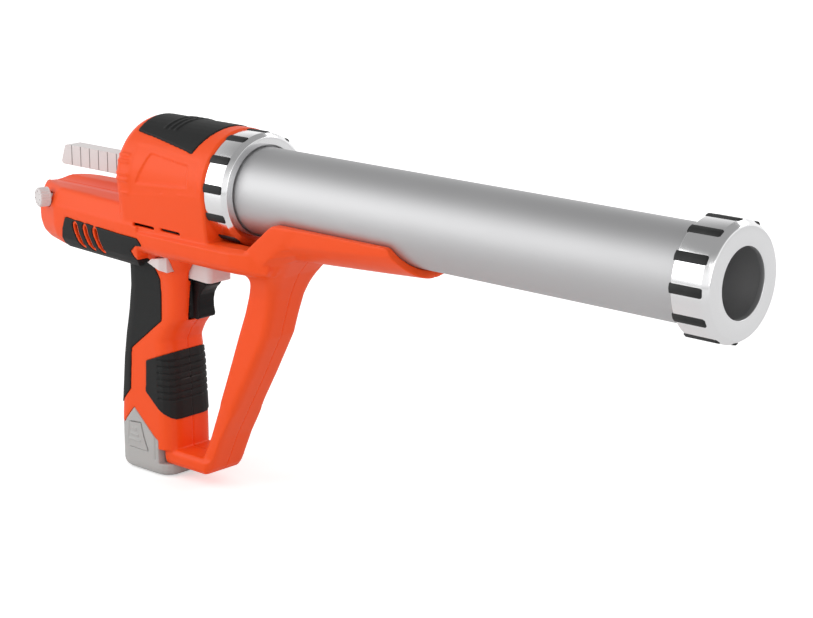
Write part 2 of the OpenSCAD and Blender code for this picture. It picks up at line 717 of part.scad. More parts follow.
// Push rod: a plan with grooves in both sides, and the rack cut into a channel underneath
module push_rod() {
    grooves = [for (x = [rod_rear + 2*pitch:2*pitch:rod_front - plain_front]) x];
    right = [for (x = grooves) each [[x - groove_w/2, -rod_w/2],
        [x - groove_w/2 + 0.2, groove_deep - rod_w/2],
        [x + groove_w/2 - 0.2, groove_deep - rod_w/2], [x + groove_w/2, -rod_w/2]]];
    left = [for (i = [len(right) - 1:-1:0]) [right[i][0], -right[i][1]]];
    stud_x = rod_front - seat_len;
    spaces = ceil((rod_forward + rack_spare)/pitch);
    first = drive_x - spaces*pitch;
    count = floor((rack_front - first)/pitch);
    // Height above the pitch line and half width of a space there
    tip = -rack_addendum + 0.15;
    root = gear_ded*rack_module;
    function space(h) = pitch/2 - rack_half + (-h)*tan(pressure);
    comb = [for (i = [0:count]) let (x = first + i*pitch) each [[x - space(tip), rack_line + tip],
        [x - space(root), rack_line + root], [x + space(root), rack_line + root],
        [x + space(tip), rack_line + tip]]];
    floor_z = -rod_h/2 - 1;
    color([0.82, 0.8, 0.8]) {
        difference() {
            intersection() {
                translate([0, 0, -rod_h/2]) linear_extrude(rod_h) polygon(concat(
                    [[rod_rear - 10, -rod_w/2]], right, [[stud_x, -rod_w/2], [stud_x, rod_w/2]],
                    left, [[rod_rear - 10, rod_w/2]]));
                side_plate(concat([[0, -10], [0, 10]], arc(rod_rear + 4.5, rod_h/2 - 3, 3, 90, 176, 4),
                    arc(rod_rear + 0.5, 2.2 - rod_h/2, 2.2, 176, 270, 4)), -10, 10);
            }
            side_plate(concat(comb, [[comb[len(comb) - 1][0], floor_z], [comb[0][0], floor_z]]),
                rack_walls - rod_w/2, rod_w/2 - rack_walls);
        }
        x_cylinder(stud_r, stud_x - lap, rod_front + stud_out, 32);
    }
}
module piston() {
    rear = rod_front - piston_len;
    color([0.25, 0.26, 0.27]) difference() {
        x_revolve([[rear, 0], [rear, 12], [rod_front - piston_web, 12],
            [rod_front - piston_web, piston_r - 2.6], [rear, piston_r - 2], [rear, piston_r - 0.4],
            [rear + 1, piston_r], [rod_front - 1, piston_r], [rod_front, piston_r - 1], [rod_front, 0]]);
        x_cylinder(stud_r + 0.05, rear - 1, rod_front + 1, 32);
        rod_window(0.1, rear - 1, rod_front - seat_len + 0.1);
    }
}
module piston_nut() {
    color([0.7, 0.7, 0.72]) difference() {
        x_cylinder(6, rod_front, rod_front + 5, 6);
        x_cylinder(stud_r + 0.05, rod_front - 1, rod_front + 6, 32);
    }
}
module rod_guides() {
    top = rod_h/2 + rod_gap;
    reach = plate_in - 0.05;
    color([0.88, 0.87, 0.82]) {
        // Slide over the rack's mesh, between the frame's side plates
        translate([drive_x + 9, 0, 0]) rotate([90, 0, -90]) linear_extrude(18) polygon([[-reach, 9.5],
            [-rod_w/2 - 1.5, 9.5], [-rod_w/2 - 1.5, top], [rod_w/2 + 1.5, top],
            [rod_w/2 + 1.5, 9.5], [reach, 9.5], [reach, 12.5], [-reach, 12.5]]);
        // Bush in the rear wall of the dome
        difference() {
            union() {
                rod_window(2.3, hx - dome_len - 1, hx - dome_len + 8);
                rod_window(6, hx - dome_len + wall + 0.3, hx - dome_len + 8);
            }
            rod_window(rod_gap, hx - dome_len - 2, hx - dome_len + 9);
        }
    }
}

module gear_frame() {
    x0 = gearbox_front;
    x1 = hx - 2*front_wall;
    thick = 3;
    outline = [[x0, -49], [x0 + 40, -49], [x1, -34], [x1, plate_top], [x0 + 12, plate_top],
        [x0 + 5, plate_top - 8], [x0 + 5, -23], [x0, -28]];
    color([0.62, 0.63, 0.65]) difference() {
        union() {
            side_plate(outline, -plate_out, -plate_in);
            side_plate(outline, plate_in, plate_out);
            translate([x0, -plate_out, -49]) cube([thick, 2*plate_out, 21]);
            translate([x1 - thick, -plate_out, -34]) cube([thick, 2*plate_out, plate_top + 34]);
        }
        y_cylinder(bush_r + 0.03, drive_x, drive_z, -30, 30, 48);
        y_cylinder(bush_r + 0.03, lay_x, lay_z, -30, 30, 48);
        translate([0, 0, lay_z]) x_cylinder(nose_r + 0.1, x0 - 1, x0 + thick + 1, 48);
        rod_window(1.5, x1 - thick - 1, x1 + 1);
    }
}
module drive_shaft() {
    color([0.7, 0.71, 0.73]) y_cylinder(shaft_d/2, drive_x, drive_z, -plate_out, plate_out, 48);
}
module lay_shaft() {
    color([0.7, 0.71, 0.73]) y_cylinder(shaft_d/2, lay_x, lay_z, -plate_out, plate_out, 48);
}
module drive_pinion() {
    w = rod_w/2 - rack_walls - 0.4;
    color([0.55, 0.56, 0.58]) difference() {
        union() {
            gear(rack_module, drive_teeth, rack_addendum/rack_module, drive_x, drive_z, -w, w, 90);
            y_cylinder(drive_r - 3.2, drive_x, drive_z, -spur_y, spur_y, 48);
        }
        y_cylinder(shaft_d/2 + 0.01, drive_x, drive_z, -20, 20, 48);
    }
}
module spur_gear() {
    color([0.55, 0.56, 0.58]) difference() {
        gear(gear_module, spur_teeth, gear_add, drive_x, drive_z, spur_y + 0.05, spur_y + gear_face,
            lay_angle);
        y_cylinder(shaft_d/2 + 0.01, drive_x, drive_z, 0, 30, 48);
        difference() {
            y_cylinder(spur_r - 4.5, drive_x, drive_z, spur_y + gear_face - 2, 30, 48);
            y_cylinder(shaft_d/2 + 3.5, drive_x, drive_z, 0, 30, 48);
        }
        for (i = [0:5])
            y_cylinder(3.2, drive_x + 0.6*spur_r*cos(60*i), drive_z + 0.6*spur_r*sin(60*i), 0, 30, 32);
    }
}
module lay_pinion() {
    color([0.55, 0.56, 0.58]) difference() {
        gear(gear_module, lay_teeth, gear_add, lay_x, lay_z, spur_y, spur_y + gear_face,
            lay_angle - 180 + 180/lay_teeth);
        y_cylinder(shaft_d/2 + 0.01, lay_x, lay_z, 0, 30, 48);
    }
}
module bevel_gear() {
    back = -bevel_pinion_r - 3.5;
    color([0.55, 0.56, 0.58]) difference() {
        union() {
            translate([lay_x, -bevel_pinion_r, lay_z]) rotate([-90, 0, 0])
                bevel_teeth(bevel_module, bevel_gear_teeth, bevel_pinion_r, 180);
            y_cylinder(bevel_gear_r - 2.5, lay_x, lay_z, back, lap - bevel_pinion_r, 48);
            y_cylinder(shaft_d/2 + 2.6, lay_x, lay_z, 1 - plate_in, back + lap, 48);
        }
        y_cylinder(shaft_d/2 + 0.01, lay_x, lay_z, -30, 30, 48);
    }
}
module bevel_pinion() {
    large = lay_x - bevel_gear_r;
    color([0.55, 0.56, 0.58]) {
        translate([large, 0, lay_z]) rotate([0, 90, 0])
            bevel_teeth(bevel_module, bevel_pinion_teeth, bevel_gear_r, 270 + 180/bevel_pinion_teeth);
        translate([0, 0, lay_z]) x_cylinder(bevel_pinion_r - 1.6, gearbox_front + 3.4, large + lap, 48);
        translate([0, 0, lay_z]) x_cylinder(3, gearbox_front - 6, gearbox_front + 3.4 + lap, 48);
    }
}
module shaft_bushes() {
    color([0.75, 0.6, 0.35]) for (s = [-1, 1]) for (p = [[drive_x, drive_z], [lay_x, lay_z]])
        difference() {
            union() {
                y_cylinder(bush_r, p[0], p[1], s > 0 ? plate_in - flange_t : -plate_out,
                    s > 0 ? plate_out : flange_t - plate_in, 48);
                y_cylinder(bush_r + 1.2, p[0], p[1], s > 0 ? plate_in - flange_t : -plate_in,
                    s > 0 ? plate_in : flange_t - plate_in, 48);
            }
            y_cylinder(shaft_d/2 + shaft_gap, p[0], p[1], -30, 30, 48);
        }
}
module gearbox() {
    color([0.45, 0.46, 0.48]) translate([0, 0, lay_z]) difference() {
        union() {
            x_cylinder(motor_d/2, motor_front, gearbox_front);
            x_cylinder(nose_r, gearbox_front - lap, gearbox_front + 3, 48);
        }
        x_cylinder(3.05, gearbox_front - 6.5, gearbox_front + 4, 48);
        for (i = [0:3]) rotate([45 + 90*i, 0, 0]) translate([0, 0, motor_d/2])
            x_cylinder(2, motor_front - 1, gearbox_front - 6, 24);
    }
}
module motor() {
    rear = motor_front - motor_len;
    color([0.6, 0.61, 0.63]) translate([0, 0, lay_z]) {
        difference() {
            x_revolve([[motor_front, 0], [motor_front, motor_d/2 - 0.8], [rear + 6, motor_d/2 - 0.8],
                [rear + 6, motor_d/2 - 1.6], [rear + 0.8, motor_d/2 - 1.6],
                [rear, motor_d/2 - 2.4], [rear, 0]]);
            for (i = [0:3]) rotate([45 + 90*i, 0, 0]) translate([rear + 9, -3, motor_d/2 - 2])
                cube([7, 6, 3]);
        }
        x_cylinder(5, rear - 2.5, rear + lap, 32);
        for (s = [-1, 1]) translate([rear - 5, 9*s - 0.4, -2]) cube([5 + lap, 0.8, 4]);
    }
}

module speed_dial() {
    r = dial_d/2;
    color([0.82, 0.8, 0.8]) translate([hx, 0, 0]) at_dial() {
        difference() {
            rotate_extrude($fn = 48)
                polygon([[0, -dial_len], [r, -dial_len], [r, -0.8], [r - 0.8, 0], [0, 0]]);
            for (i = [0:19]) rotate([0, 0, 18*i]) translate([r + 0.25, 0, -dial_len + 1])
                cylinder(r = 0.7, h = dial_len, $fn = 16);
        }
        translate([0, 0, pot_front - 4])
            cylinder(r = dial_shaft_r, h = -dial_len - pot_front + 4 + lap, $fn = 32);
    }
}
module dial_potentiometer() {
    color([0.15, 0.35, 0.5]) translate([hx, 0, 0]) at_dial() difference() {
        union() {
            translate([-5.5, -7, pot_front - 6]) cube([11, 10.5, 5]);
            translate([0, 0, pot_front - 1.2]) cylinder(r = 3.5, h = 1.2, $fn = 32);
        }
        translate([0, 0, pot_front - 4.5]) cylinder(r = dial_shaft_r + 0.05, h = 6, $fn = 32);
    }
}

module trigger() {
    color([0.15, 0.15, 0.16]) translate([hx, 0, 0]) difference() {
        intersection() {
            side_plate(trigger_side, -trigger_w/2, trigger_w/2);
            translate([0, 0, trigger_top - 30]) linear_extrude(40) polygon([[-70, -trigger_w/2],
                [block_front, -trigger_w/2], [block_front + 1.6, finger_inset - trigger_w/2],
                [-30, finger_inset - trigger_w/2], [-30, trigger_w/2 - finger_inset],
                [block_front + 1.6, trigger_w/2 - finger_inset], [block_front, trigger_w/2],
                [-70, trigger_w/2]]);
        }
        translate([0, 0, trigger_spring_z])
            x_cylinder(trigger_spring_r + 0.9, -65, -64 + trigger_pocket, 32);
    }
}
module trigger_switch() {
    color([0.1, 0.1, 0.11]) translate([hx, 0, 0]) difference() {
        union() {
            translate([switch_x - 14, -8, trigger_top - 24]) cube([14, 16, 22]);
            translate([switch_x - 10, -hw + wall + 2, trigger_top - 20]) cube([6, 2*(hw - wall - 2), 8]);
        }
        for (s = [-1, 1]) translate([switch_x - 15, 5*s - 0.6, trigger_top - 20]) cube([4, 1.2, 12]);
    }
}
module trigger_spring() {
    color([0.7, 0.7, 0.72]) translate([hx, 0, trigger_spring_z])
        coil(trigger_spring_r, switch_x + 0.4, -64 + trigger_pocket - 0.45, 6);
}
module release_button() {
    color([0.8, 0.78, 0.78]) translate([hx, 0, 0]) intersection() {
        side_plate([for (i = [7:-1:0]) release_side[i]], -release_w/2, release_w/2);
        translate([0, 0, trigger_top - 5]) linear_extrude(30) hull() {
            translate([release_rear - 5, -release_w/2]) square([5, release_w]);
            for (s = [-1, 1]) translate([release_front - release_corner, s*(release_w/2 - release_corner)])
                circle(release_corner, $fn = fn_hull);
        }
    }
}
module release_spring() {
    color([0.7, 0.7, 0.72]) translate([hx, release_spring_y, release_spring_z])
        coil(release_spring_r, release_rib_x + 0.4, release_rear - 0.4, 6);
}
module lock_off_button() {
    front = lock_side[2][0];
    color([0.8, 0.78, 0.78]) translate([hx, 0, 0]) {
        difference() {
            intersection() {
                side_plate([for (i = [3:-1:0]) lock_side[i]], lock_right, lock_left);
                translate([0, 0, -70]) linear_extrude(30) polygon([[-80, lock_right],
                    [front - lock_bevel[0], lock_right], [front + 0.5, lock_right + lock_bevel[1]],
                    [front + 0.5, lock_left - lock_bevel[1]], [front - lock_bevel[0], lock_left],
                    [-80, lock_left]]);
            }
            translate([lock_bar[1], -lock_inner, -70]) cube([20, 2*lock_inner, 30]);
            translate([-70, -lock_step, -70]) cube([30, 2*lock_step, 30]);
        }
        translate([lock_bar[0], -lock_step - lap, lock_bar[2]])
            cube([lock_bar[1] - lock_bar[0], 2*(lock_step + lap), lock_bar[3] - lock_bar[2]]);
    }
}

module battery() {
    front = battery_nose;
    base = -foot_z - battery_drop;
    color([0.7, 0.7, 0.69]) translate([hx, 0, 0]) difference() {
        union() {
            intersection() {
                loft([at_z(rounded(handle_rear + 5, front - 5, hw - 5, 9), base),
                    at_z(rounded(handle_rear + 1.6, front - 1.6, hw - 1.6, 10), base + 1.8),
                    at_z(rounded(handle_rear, front, hw, 11), base + 5),
                    at_z(rounded(handle_rear, front, hw, 11), 40 - foot_z)]);
                side_plate(battery_side(battery_gap), -60, 60);
            }
            translate([0, 0, 10 - foot_z]) linear_extrude(foot_z - tower_z - 10)
                polygon(rounded(tower_rear, tower_front, tower_w/2, 8));
        }
        for (s = [-1, 1]) {
            translate([-73.2, s > 0 ? hw - 0.9 : -hw - 1, 1.5 - foot_z]) cube([1.4, 1.9, 16]);
            side_plate(inset(latch_side, -battery_gap), s > 0 ? hw - 4.6 : -60,
                s > 0 ? 60 : 4.6 - hw);
        }
        for (i = [0:3]) translate([-95 + 7*i, -6, -tower_z - 10]) cube([1.8, 12, 12]);
    }
}
module battery_latch(side) {
    out = hw + 0.4;
    y0 = side > 0 ? out - 2.6 : -out;
    color([0.66, 0.66, 0.65]) translate([hx, 0, 0]) {
        side_plate(latch_side, y0, y0 + 2.6);
        for (i = [0:2])
            translate([-94.5 - 2*i, side > 0 ? out - lap : -out - 0.6, 19 - 3.8*i - foot_z])
                cube([4 + 4*i, 0.6 + lap, 1.5]);
    }
}
module battery_latch_right() { battery_latch(-1); }
module battery_latch_left() { battery_latch(1); }
module terminal_block() {
    bottom = -tower_z + 0.7;
    color([0.1, 0.1, 0.11]) translate([hx, 0, 0]) {
        translate([-99, -11, bottom]) cube([32, 22, 7]);
        translate([-88, 0.25 + wall - hw + 0.6, bottom + 2]) cube([8, 2*(hw - wall - 0.85), 4]);
        for (i = [0:3]) translate([-94.5 + 7*i, -4.5, bottom - 8.2]) cube([0.8, 9, 8.4]);
    }
}
module circuit_board() {
    y = 11;
    color([0.1, 0.35, 0.2]) translate([hx, 0, 0]) {
        translate([-90, y, -113]) cube([24, 1.6, 16]);
        for (x = [-87, -69]) y_cylinder(1.8, x, -105, y + 1.6 - lap, hw - wall - 1.8, 24);
        translate([-84, y - 4, -110]) cube([8, 4 + lap, 6]);
        for (i = [0:1]) y_cylinder(2.6, -71 - 7*i, -100.5, y - 5, y + lap, 24);
    }
}

housing_right();
housing_left();
top_cover();
rear_grip_right();
rear_grip_left();
front_grip_right();
front_grip_left();
housing_screws();
barrel_tube();
front_ring();
front_ring_inserts();
rear_ring();
rear_ring_inserts();
barrel_socket();
push_rod();
piston();
piston_nut();
rod_guides();
gear_frame();
drive_shaft();
drive_pinion();
spur_gear();
lay_shaft();
lay_pinion();
bevel_gear();
bevel_pinion();
shaft_bushes();
gearbox();
motor();
speed_dial();
dial_potentiometer();
trigger();
trigger_switch();
trigger_spring();
release_button();
release_spring();
lock_off_button();
battery();
battery_latch_right();
battery_latch_left();
terminal_block();
circuit_board();
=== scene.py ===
# Battery caulking tool: finishes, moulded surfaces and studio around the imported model.
# Lengths are metres in the model's own frame: origin at the nozzle hole, +X forward, +Z up.
import json
import math
from contextlib import contextmanager

import bmesh
import bpy
import numpy as np
from bpy.props import FloatProperty, FloatVectorProperty, IntProperty, PointerProperty
from bpy.types import Operator, Panel, PropertyGroup
from mathutils import Matrix, Vector


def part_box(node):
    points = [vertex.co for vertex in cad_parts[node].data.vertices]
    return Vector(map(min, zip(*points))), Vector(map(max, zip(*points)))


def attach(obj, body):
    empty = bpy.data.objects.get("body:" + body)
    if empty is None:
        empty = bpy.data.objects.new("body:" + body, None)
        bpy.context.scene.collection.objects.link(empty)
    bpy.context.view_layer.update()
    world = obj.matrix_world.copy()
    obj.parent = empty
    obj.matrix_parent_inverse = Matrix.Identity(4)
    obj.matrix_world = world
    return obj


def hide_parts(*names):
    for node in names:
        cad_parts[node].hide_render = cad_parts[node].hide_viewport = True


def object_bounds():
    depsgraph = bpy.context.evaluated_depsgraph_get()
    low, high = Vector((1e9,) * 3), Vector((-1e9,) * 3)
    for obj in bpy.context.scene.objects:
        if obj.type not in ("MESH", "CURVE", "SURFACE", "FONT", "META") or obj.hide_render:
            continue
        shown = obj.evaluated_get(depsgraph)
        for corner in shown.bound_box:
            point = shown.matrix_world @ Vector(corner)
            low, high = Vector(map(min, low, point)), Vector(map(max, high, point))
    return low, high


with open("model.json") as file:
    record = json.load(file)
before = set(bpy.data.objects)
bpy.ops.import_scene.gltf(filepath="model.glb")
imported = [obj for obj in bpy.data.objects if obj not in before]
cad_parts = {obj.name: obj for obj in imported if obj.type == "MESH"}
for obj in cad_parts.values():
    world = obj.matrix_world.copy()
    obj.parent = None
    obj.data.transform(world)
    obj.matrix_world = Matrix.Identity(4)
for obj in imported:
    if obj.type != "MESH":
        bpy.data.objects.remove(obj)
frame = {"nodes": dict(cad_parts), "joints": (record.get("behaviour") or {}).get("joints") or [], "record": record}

bl_info = {
    "name": "Caulking tool finishes",
    "version": (1, 0, 0),
    "blender": (4, 5, 0),
    "location": "3D View > Sidebar > Caulking tool",
    "description": "Moulded, turned and rubber surfaces for a battery caulking tool",
    "category": "Object",
}

NODES = frame["nodes"]
CAD_BOX = [list(corner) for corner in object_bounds()]
BODIES = frame["record"]["behaviour"]["bodies"]
BODY_OF = {node: body for body, nodes in BODIES.items() for node in nodes}
SLOT_OF = {row["node"]: row["material_slot"] for row in frame["record"]["subparts"]}
MM = 0.001
# Points that lie closer together than this are one
MERGE = 0.000002
# How far behind the dome's front face the barrel's socket starts
SOCKET_INSIDE = 8*MM
# The dome's front face, from which the housing's own measures run, forwards and back
DOME_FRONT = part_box("barrel_socket")[0][0] + SOCKET_INSIDE


def srgb(red, green, blue):
    """Linear colour of a screen colour whose parts run from 0 to 255."""
    return tuple(((c/255 + 0.055)/1.055)**2.4 for c in (red, green, blue))


def colour(label, meaning, value):
    return FloatVectorProperty(name=label, description=meaning, subtype="COLOR", size=3, min=0, max=1,
                               default=value)


def length(label, meaning, millimetres):
    return FloatProperty(name=label, description=meaning, subtype="DISTANCE", unit="LENGTH", min=0,
                         default=millimetres*MM, precision=5)


def angle(label, meaning, degrees):
    return FloatProperty(name=label, description=meaning, subtype="ANGLE",
                         default=math.radians(degrees))


def power(label, meaning, watts):
    return FloatProperty(name=label, description=meaning, unit="POWER", min=0, default=watts)


def number(label, meaning, least, default):
    return IntProperty(name=label, description=meaning, min=least, default=default)


class CAULK_PG_finish(PropertyGroup):
    """Colours of the tool's materials."""
    shell: colour("Shell", "Orange of the moulded housing", srgb(252, 84, 24))
    rubber: colour("Rubber", "Black of the rubber covers and inserts", srgb(27, 28, 28))
    pale: colour("Pale plastic", "Light grey of the rod and the controls", srgb(226, 220, 219))
    battery: colour("Battery", "Grey of the battery case", srgb(183, 183, 181))
    black: colour("Black plastic", "Black of the trigger", srgb(12, 12, 13))
    dark: colour("Dark plastic", "Dark grey of the inner mouldings and the piston", srgb(44, 45, 47))
    nylon: colour("Nylon", "Natural nylon of the rod's guides", srgb(222, 218, 206))
    tube: colour("Barrel", "Bead blasted and anodised aluminium", srgb(200, 200, 201))
    ring: colour("Rings", "Turned and polished aluminium", srgb(243, 243, 244))
    steel: colour("Steel", "Ground steel of the gears and screws", srgb(168, 170, 173))
    bronze: colour("Bronze", "Sintered bronze of the bushes", srgb(186, 152, 96))
    cast: colour("Die casting", "Cast aluminium of the frame and neck", srgb(150, 152, 156))
    board: colour("Board", "Lacquer of the circuit board", srgb(24, 92, 52))
    ink: colour("Ink", "Ink of the dial's numbers", srgb(96, 60, 66))


class CAULK_PG_moulding(PropertyGroup):
    """How finely the moulded surfaces are drawn and how soft their edges are."""
    shell_cell: length("Shell cell", "Cell size of the housing's surface", 0.6)
    cover_cell: length("Cover cell", "Cell size of the rubber covers", 0.4)
    part_cell: length("Part cell", "Cell size of the controls", 0.28)
    rod_edge: length("Rod edge", "Width of the rounding on the push rod's edges", 0.2)
    facet_angle: angle("Facet angle", "Bends below this are evened out, and sharper edges stay", 14)
    even_passes: number("Evening passes", "Passes that even out the facets", 0, 40)
    edge_passes: number("Edge passes", "Passes that round every edge", 0, 5)
    most_triangles: number("Most triangles", "Triangles that one piece may have", 1000, 190000)


class CAULK_PG_barrel(PropertyGroup):
    """Sizes of the turned pieces that the model's frame doesn't give."""
    tube_wall: length("Tube wall", "Wall of the barrel", 1.8)
    tube_radius: length("Tube radius", "Outer radius of the barrel", 28)
    flange_length: length("Flange length", "Length of the barrel's rear flange", 3.4)
    nozzle_radius: length("Nozzle hole", "Radius of the hole in the front ring", 20.15)
    lip: length("Lip", "Thickness of each ring's inner lip", 3.5)
    seat_gap: length("Seat gap", "Gap between a ring and what it seats on", 0.3)
    insert_width: length("Insert width", "Width of one rubber insert", 5.6)
    insert_depth: length("Insert depth", "Depth of the pocket under an insert", 1.6)
    insert_gap: length("Insert gap", "Gap between an insert and its pocket", 0.05)
    insert_stand: length("Insert height", "How far an insert's ridge stands out of the ring", 0.8)
    insert_corner: length("Insert corner", "Rounding of an insert's front corners", 1.2)
    front_margin: length("Front margin", "From the front ring's face to its inserts", 3.4)
    rear_margin: length("Rear margin", "From the rear ring's face to its inserts", 2.7)
    rear_turn: angle("Rear turn", "Turn of the rear ring's inserts about the barrel", -7.5)
    insert_count: number("Inserts", "Inserts round each ring", 3, 12)
    segments: number("Segments", "Segments of a turned piece", 24, 192)


class CAULK_PG_studio(PropertyGroup):
    """Camera and lamps."""
    camera_at: FloatVectorProperty(name="Camera", description="Place of the camera", size=3,
                                   subtype="TRANSLATION", unit="LENGTH",
                                   default=(0.6259, -0.9547, 0.2827))
    azimuth: angle("Azimuth", "Turn of the view from the tool's right side", 42.25)
    elevation: angle("Elevation", "Height of the view above level", 14.74)
    lens: FloatProperty(name="Lens", description="Focal length on a 36 mm sensor", min=10,
                        default=97.2)
    key_power: power("Key", "Power of the large softbox", 16)
    fill_power: power("Fill", "Power of the front softbox", 5)
    back_power: power("Back", "Power of the strip behind the tool", 5)
    sky: FloatProperty(name="Room light", description="Even light from all round", min=0,
                       default=0.62)
    floor_width: length("Floor", "Width of the floor", 8000)


# Nodes

def link(tree, source, target):
    """Link an output to an input, or set the input to a plain value."""
    if isinstance(source, bpy.types.NodeSocket):
        tree.links.new(source, target)
    else:
        target.default_value = source


def add_node(tree, kind, inputs, **settings):
    """Node with its settings and its inputs, each by its name or place."""
    node = tree.nodes.new(kind)
    for key, value in settings.items():
        setattr(node, key, value)
    for key, value in inputs.items():
        link(tree, value, node.inputs[key])
    return node


def sockets(tree, side, **kinds):
    """Add sockets to one side of a tree, each a kind or a kind and its default."""
    for name, kind in kinds.items():
        kind, default = kind if isinstance(kind, tuple) else (kind, None)
        item = tree.interface.new_socket(name, in_out=side, socket_type="NodeSocket" + kind)
        if default is not None:
            item.default_value = default


def built_once(build):
    """Build a node tree of the function's own name when it is first asked for."""
    def tree():
        if build.__name__ not in bpy.data.node_groups:
            build(build.__name__)
        return bpy.data.node_groups[build.__name__]
    return tree


def math_node(tree, operation, *values, clamp=False):
    """Output of a math node whose inputs are outputs or numbers."""
    return add_node(tree, "ShaderNodeMath", dict(enumerate(values)), operation=operation,
                    use_clamp=clamp).outputs[0]


def noise(tree, place, scale, detail, dimensions="3D"):
    inputs = {"W" if dimensions == "1D" else "Vector": place, "Scale": scale, "Detail": detail}
    return add_node(tree, "ShaderNodeTexNoise", inputs, noise_dimensions=dimensions).outputs["Fac"]


def ramp(tree, value, low, high, start, end):
    """Output that goes from start to end while the value goes from low to high."""
    return add_node(tree, "ShaderNodeMapRange", {
        "Value": value, "From Min": low, "From Max": high, "To Min": start, "To Max": end}).outputs[0]


# Effects shared by the materials. The scale of a pattern is how often it changes in a metre

def effect_group(name):
    """Node group that takes a colour and a roughness and gives them back with a height.

    Returns its tree, its inputs, the place on the piece and the scale of its fine pattern.
    """
    tree = bpy.data.node_groups.new(name, "ShaderNodeTree")
    sockets(tree, "INPUT", Colour="Color", Roughness=("Float", 0.5), Size=("Float", 0.4*MM),
            Tint=("Float", 0.03), Spread=("Float", 0.08))
    sockets(tree, "OUTPUT", Colour="Color", Roughness="Float", Height="Float")
    entry = tree.nodes.new("NodeGroupInput")
    place = tree.nodes.new("ShaderNodeTexCoord").outputs["Object"]
    return tree, entry.outputs, place, math_node(tree, "DIVIDE", 1.0, entry.outputs["Size"])


def close_effect(tree, values, pattern, broad):
    """Tint the colour by the broad pattern and the roughness by both, and give the height."""
    centred = math_node(tree, "SUBTRACT", broad, 0.5)
    shade = math_node(tree, "ADD", math_node(tree, "MULTIPLY", centred, values["Tint"]), 1.0)
    tinted = add_node(tree, "ShaderNodeVectorMath", {0: values["Colour"], "Scale": shade},
                      operation="SCALE")
    both = math_node(tree, "SUBTRACT", math_node(tree, "ADD", broad, pattern), 1.0)
    change = math_node(tree, "MULTIPLY", both, values["Spread"])
    rough = math_node(tree, "ADD", values["Roughness"], change, clamp=True)
    add_node(tree, "NodeGroupOutput", {"Colour": tinted.outputs[0], "Roughness": rough,
                                       "Height": pattern})


@built_once
def moulded_grain(name):
    """Fine spark-eroded grain with a broad, faint change of tint."""
    tree, values, place, scale = effect_group(name)
    fine = noise(tree, place, scale, detail=3)
    close_effect(tree, values, fine, noise(tree, place, scale=16, detail=2))


@built_once
def turned_lines(name):
    """Tool marks round the barrel axis, on faces and on cylinders alike."""
    tree, values, place, scale = effect_group(name)
    parts = add_node(tree, "ShaderNodeSeparateXYZ", {0: place}).outputs
    across = math_node(tree, "POWER", parts["Y"], 2.0)
    upward = math_node(tree, "POWER", parts["Z"], 2.0)
    radius = math_node(tree, "SQRT", math_node(tree, "ADD", across, upward))
    along = math_node(tree, "ADD", radius, parts["X"])
    lines = noise(tree, along, scale, detail=2, dimensions="1D")
    close_effect(tree, values, lines, noise(tree, place, scale=30, detail=2))


@built_once
def brushed_lines(name):
    """Long marks along X, as on ground or drawn metal."""
    tree, values, place, scale = effect_group(name)
    drawn_out = (0.03, 1, 1)
    stretch = add_node(tree, "ShaderNodeMapping", {"Scale": drawn_out, "Vector": place})
    fine = noise(tree, stretch.outputs[0], scale, detail=3)
    close_effect(tree, values, fine, noise(tree, place, scale=40, detail=2))


@built_once
def edge_wear(name):
    """Painted highlight: the colour made lighter on the outer edges, broken up so that it isn't an even line."""
    tree = bpy.data.node_groups.new(name, "ShaderNodeTree")
    sockets(tree, "INPUT", Colour="Color", Worn="Color", Amount=("Float", 0.3))
    sockets(tree, "OUTPUT", Colour="Color")
    entry = tree.nodes.new("NodeGroupInput").outputs
    sharp = tree.nodes.new("ShaderNodeNewGeometry").outputs["Pointiness"]
    place = tree.nodes.new("ShaderNodeTexCoord").outputs["Object"]
    nearly_flat, gain = 0.515, 14.0
    past_flat = math_node(tree, "SUBTRACT", sharp, nearly_flat)
    edge = math_node(tree, "MULTIPLY", past_flat, gain, clamp=True)
    patch = math_node(tree, "MULTIPLY", edge, noise(tree, place, scale=90, detail=3))
    share = math_node(tree, "MULTIPLY", patch, entry["Amount"], clamp=True)
    mix = add_node(tree, "ShaderNodeMix", {"Factor": share, "A": entry["Colour"], "B": entry["Worn"]},
                   data_type="RGBA")
    add_node(tree, "NodeGroupOutput", {"Colour": mix.outputs["Result"]})
